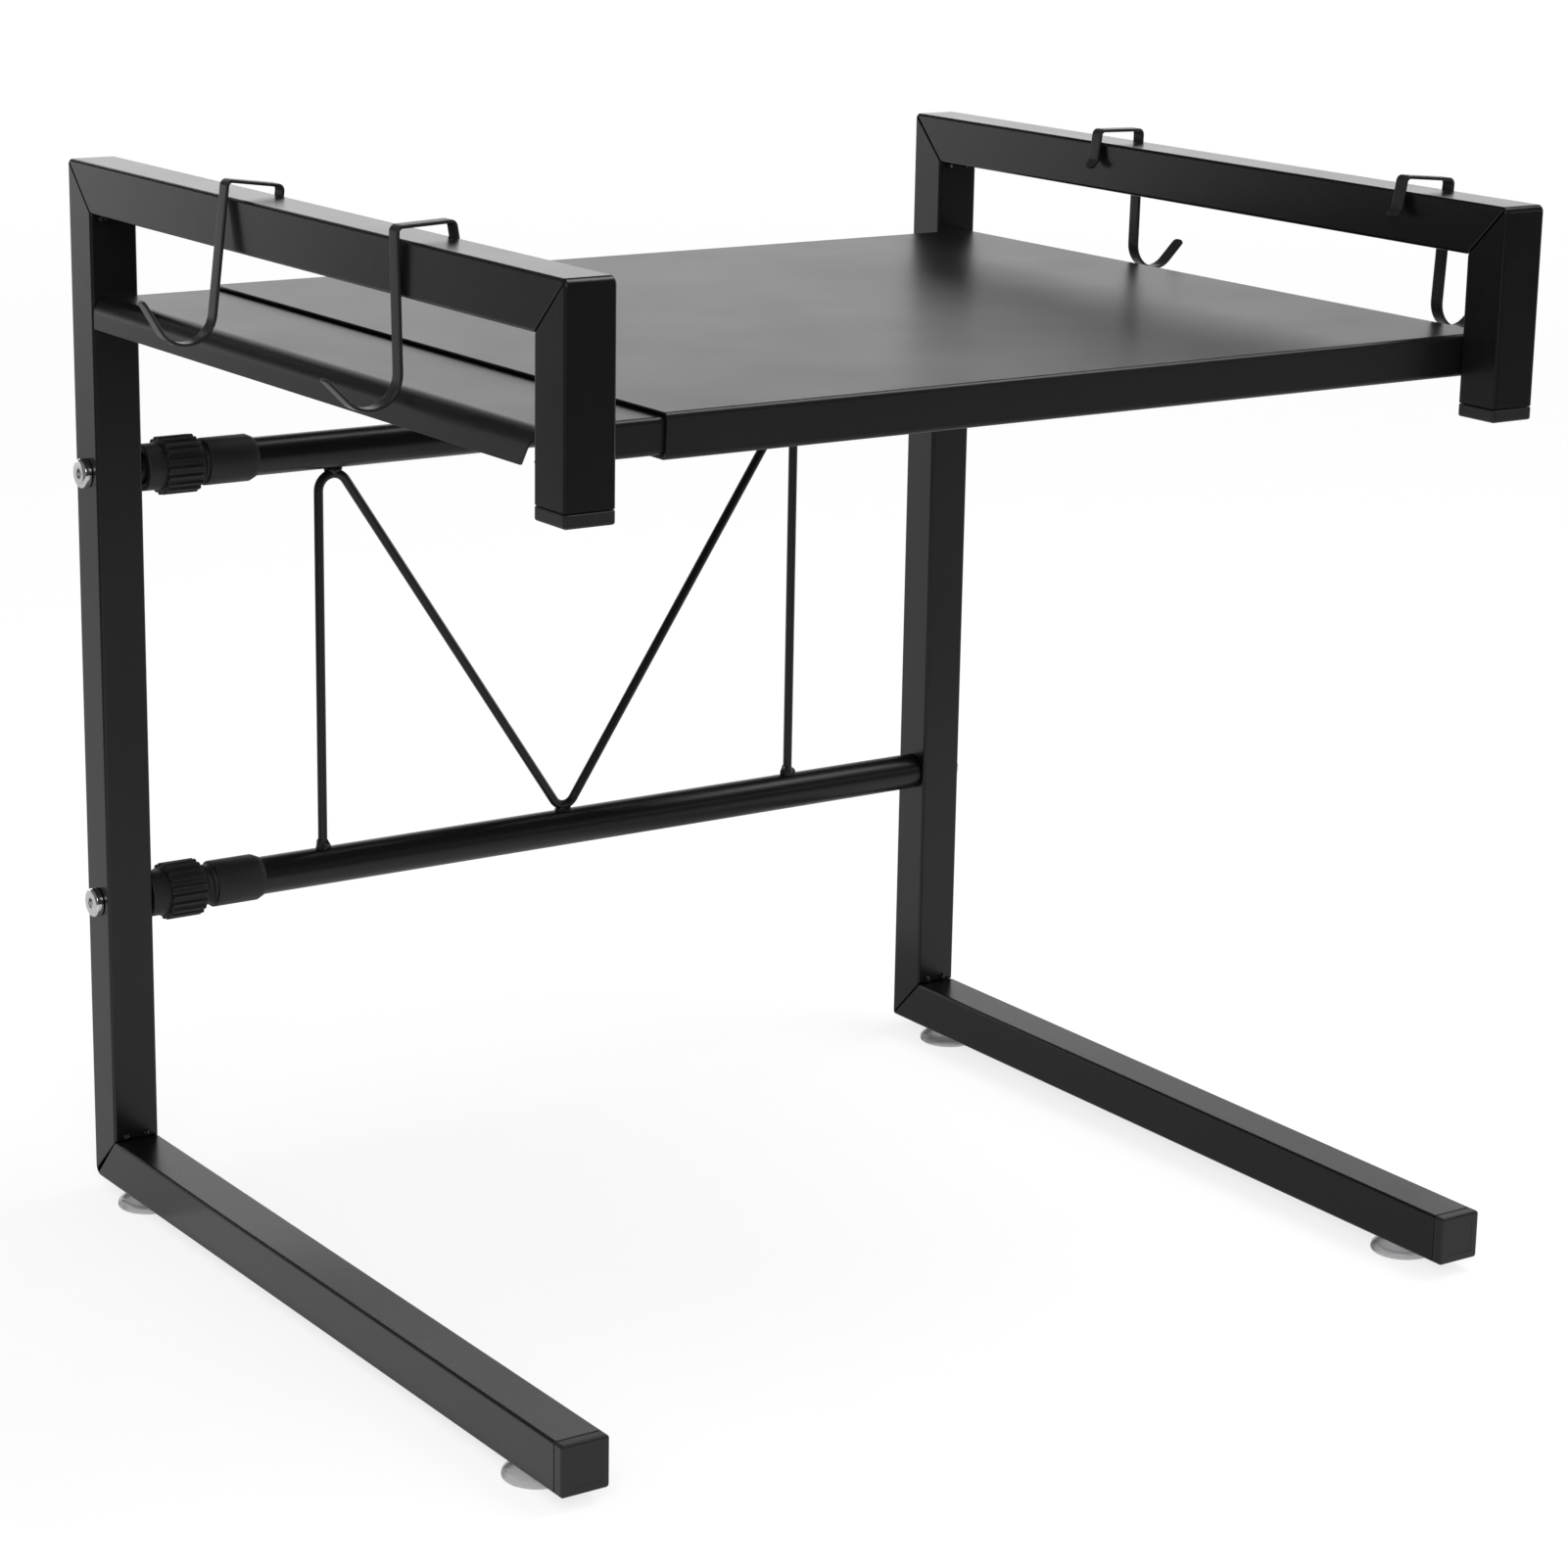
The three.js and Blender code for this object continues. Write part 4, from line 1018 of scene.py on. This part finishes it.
def wire_truss():
    """One wire, up from the lower rail, over a peak, down to the valley, and the same again mirrored."""
    node = "wire_truss"
    low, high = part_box(node)
    radius = (high.y - low.y) / 2
    centre = (low + high) / 2
    span = high.x - low.x - 2 * radius
    foot = low.z
    valley = foot + radius + TRUSS_FOOT_BEND
    peak = high.z - radius - TRUSS_PEAK_BEND
    bends = TRUSS_PEAK_BEND + TRUSS_FOOT_BEND
    across = span / 2 - TRUSS_PEAK_BEND
    rise = peak - valley
    slant = math.acos(bends / math.hypot(across, rise)) - math.atan2(rise, across)
    diagonal = (across - bends * math.cos(slant)) / math.sin(slant)
    lean = math.degrees(slant)
    over_peak = (lean - 180, TRUSS_PEAK_BEND)
    through_valley = (180 - 2 * lean, TRUSS_FOOT_BEND)
    left = centre.x - span / 2
    line = bent_line((left, foot), 90, [
        (peak - foot, *over_peak),
        (diagonal, *through_valley),
        (diagonal, *over_peak),
        (peak - foot, 0, 0),
    ])
    section = []
    for step in range(WIRE_STEPS):
        angle = math.tau * step / WIRE_STEPS
        section.append((radius * math.cos(angle), radius * math.sin(angle)))

    def place(x, z, deep):
        return Vector((x, centre.y + deep, z))

    shape = Shape()
    swept(shape, [(*station, section) for station in line], place)
    for x in (left, left + span):
        shape.lump(place(x, foot, 0), FOOT_WELD)
    shape.lump(place(centre.x, foot, 0), BEND_WELD)
    for x in (left + TRUSS_PEAK_BEND, left + span - TRUSS_PEAK_BEND):
        shape.lump(place(x, high.z, 0), BEND_WELD)
    stand_for(shape, node, "wire_truss_welded", "rail_coat")


def strip_section(half_width):
    """A flat strip's section with rounded edges, as pairs of (beside, deep)."""
    return rounded_section(STRIP / 2, half_width, STRIP_EDGE, STRIP_EDGE_STEPS)


def tip_stations(line, half_width):
    """The rounded end of a strip, past the last point of its line less the rounding."""
    across, up, angle = line[-1]
    stations = []
    for step in range(ROUND_STEPS + 1):
        turn = QUARTER * step / ROUND_STEPS
        back = TIP_ROUND * (1 - math.sin(turn))
        width = half_width - TIP_ROUND * (1 - math.cos(turn))
        place = (across - back * math.cos(angle), up - back * math.sin(angle), angle)
        stations.append((*place, strip_section(width)))
    return stations


def strip_hook(node):
    low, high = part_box(node)
    half_width = (high.y - low.y) / 2
    y = (low.y + high.y) / 2
    side = -1 if node.startswith("left") else 1
    rail_low, rail_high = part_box("left_top_rail" if side < 0 else "right_top_rail")
    rail = (rail_low.x + rail_high.x) / 2
    top = rail_high.z
    bridge = HOOK_RISE - STRIP / 2
    half = (rail_high.x - rail_low.x) / 2 + HOOK_GRIP + STRIP / 2 - HOOK_CORNER
    bend = HOOKS[node]
    inner = bent_line((0, bridge), 180 + bend.slope, [
        (half + bend.inner_spare, 90 - bend.slope - bend.inner_lean, HOOK_CORNER),
        (HOOK_INNER_LEG, -HOOK_FLARE, HOOK_FLARE_BEND),
        (HOOK_FLARE_LENGTH, 0, 0),
    ])
    outer = bent_line((0, bridge), bend.slope, [
        (half + bend.outer_spare, bend.outer_lean - 90 - bend.slope, HOOK_CORNER),
        (bend.leg, bend.curl, bend.radius),
        (bend.tip, 0, 0),
    ])
    section = strip_section(half_width)
    inner_tip = [
        (across, up, angle + math.pi, cut)
        for across, up, angle, cut in tip_stations(inner, half_width)
    ]
    straight = [(*station, section) for station in backwards(inner)[1:] + outer[1:-1]]
    stations = inner_tip[::-1] + straight + tip_stations(outer, half_width)

    def place(across, up, deep):
        return Vector((rail + side * across, y + deep, top + up))

    shape = Shape()
    swept(shape, stations, place)
    piece = stand_for(shape, node, f"{node}_strip", "hook_strip")
    even_shading(piece)


# Stage, light and camera

def background_light(finish, glow):
    """The strength of a background: seen directly or through clear pieces, in gloss, and for other rays."""
    seen, through, gloss = [
        finish.node("ShaderNodeLightPath", output=f"Is {kind} Ray")
        for kind in ("Camera", "Transmission", "Glossy")
    ]
    direct = finish.node("ShaderNodeMath", {"operation": "MAXIMUM"}, {0: seen, 1: through})
    in_gloss = gloss * (1 - direct)
    return glow.other + (glow.seen - glow.other) * direct + (glow.in_gloss - glow.other) * in_gloss


def add_world():
    world = bpy.data.worlds.new("white_surround")
    bpy.context.scene.world = world
    finish = Finish(world)
    strength = background_light(finish, SURROUND_GLOW)
    finish.end(finish.node("ShaderNodeBackground", None, {"Color": WHITE, "Strength": strength}))


def panel_corners(spans):
    """The corners of a rectangle that is flat along one axis."""
    first, second = [axis for axis in range(3) if spans[axis][0] != spans[axis][1]]
    corners = []
    for i, j in ((0, 0), (1, 0), (1, 1), (0, 1)):
        corner = [span[0] for span in spans]
        corner[first] = spans[first][i]
        corner[second] = spans[second][j]
        corners.append(corner)
    return corners


def add_panel(name, spans, finish):
    """A rectangle of the stage, from its reach along X, Y and Z."""
    mesh = bpy.data.meshes.new(name)
    mesh.from_pydata(panel_corners(spans), [], [(0, 1, 2, 3)])
    mesh.materials.append(finish.owner)
    panel = new_object(name, mesh)
    return panel


def add_floor():
    finish = new_finish("pale_floor")
    place = finish.node("ShaderNodeTexCoord", output="Object")
    colour = finish.blend(finish.noise(place, FLOOR_MOTTLE), *FLOOR_TONES)
    paint = finish.node("ShaderNodeBsdfDiffuse", None, {"Color": colour})
    strength = background_light(finish, FLOOR_GLOW)
    glow = finish.node("ShaderNodeEmission", None, {"Color": WHITE, "Strength": strength})
    near = finish.node("ShaderNodeAddShader", None, {0: paint, 1: glow})
    far = finish.node("ShaderNodeEmission", None, {"Color": WHITE, "Strength": 1})
    reach = finish.node("ShaderNodeVectorMath", {"operation": "LENGTH"}, {0: place}, "Value")
    share = finish.steps(reach, *FLOOR_FADE)
    finish.end(finish.node("ShaderNodeMixShader", None, {0: share, 1: near, 2: far}))
    add_panel("floor", FLOOR_SPANS, finish)


def add_cards():
    for name, card in CARDS.items():
        finish = new_finish(f"{name}_cloth")
        finish.end(finish.node("ShaderNodeEmission", None, {"Color": WHITE, "Strength": card.level}))
        panel = add_panel(name, card.spans, finish)
        panel.visible_camera = False
        panel.visible_diffuse = False
        panel.visible_transmission = False
        panel.visible_shadow = False


def add_lamps():
    for name, lamp in LAMPS.items():
        data = bpy.data.lights.new(name, "AREA")
        data.shape = "RECTANGLE"
        data.size = lamp.width
        data.size_y = lamp.depth
        data.energy = lamp.power
        made = new_object(name, data)
        made.location = lamp.place
        made.rotation_mode = "QUATERNION"
        made.rotation_quaternion = (LAMP_TARGET - lamp.place).to_track_quat("-Z", "Y")
        made.visible_camera = False


def add_camera():
    toward = Vector((
        math.sin(CAMERA_AZIMUTH) * math.cos(CAMERA_FALL),
        math.cos(CAMERA_AZIMUTH) * math.cos(CAMERA_FALL),
        -math.sin(CAMERA_FALL),
    ))
    level = Vector((math.cos(CAMERA_AZIMUTH), -math.sin(CAMERA_AZIMUTH), 0))
    upright = level.cross(toward)
    right = level * math.cos(CAMERA_ROLL) + upright * math.sin(CAMERA_ROLL)
    up = upright * math.cos(CAMERA_ROLL) - level * math.sin(CAMERA_ROLL)
    data = bpy.data.cameras.new("photograph_view")
    data.sensor_width = SENSOR_WIDTH
    data.lens = CAMERA_LENS
    camera = new_object("photograph_view", data)
    turn = Matrix((right, up, -toward)).transposed().to_4x4()
    camera.matrix_world = Matrix.Translation(CAMERA_PLACE) @ turn
    bpy.context.scene.camera = camera


def dress_hidden_nodes():
    """The pieces inside the rails keep their CAD solids and get their finishes."""
    for level in LEVELS:
        for piece, finish in HIDDEN_PIECES.items():
            materials = frame["nodes"][f"{level}_{piece}"].data.materials
            materials.clear()
            materials.append(FINISHES[finish].owner)


for side in SIDES:
    add_side_frame(side)
    end_cap(f"{side}_foot_cap", -ALONG_Y)
    end_cap(f"{side}_drop_cap", -ALONG_Z)
    suction_foot(f"{side}_front_foot")
    suction_foot(f"{side}_rear_foot")
add_shelf()
add_rails()
wire_truss()
for hook in HOOKS:
    strip_hook(hook)
dress_hidden_nodes()

add_world()
add_floor()
add_cards()
add_lamps()
add_camera()
bpy.context.scene.view_settings.view_transform = "Standard"
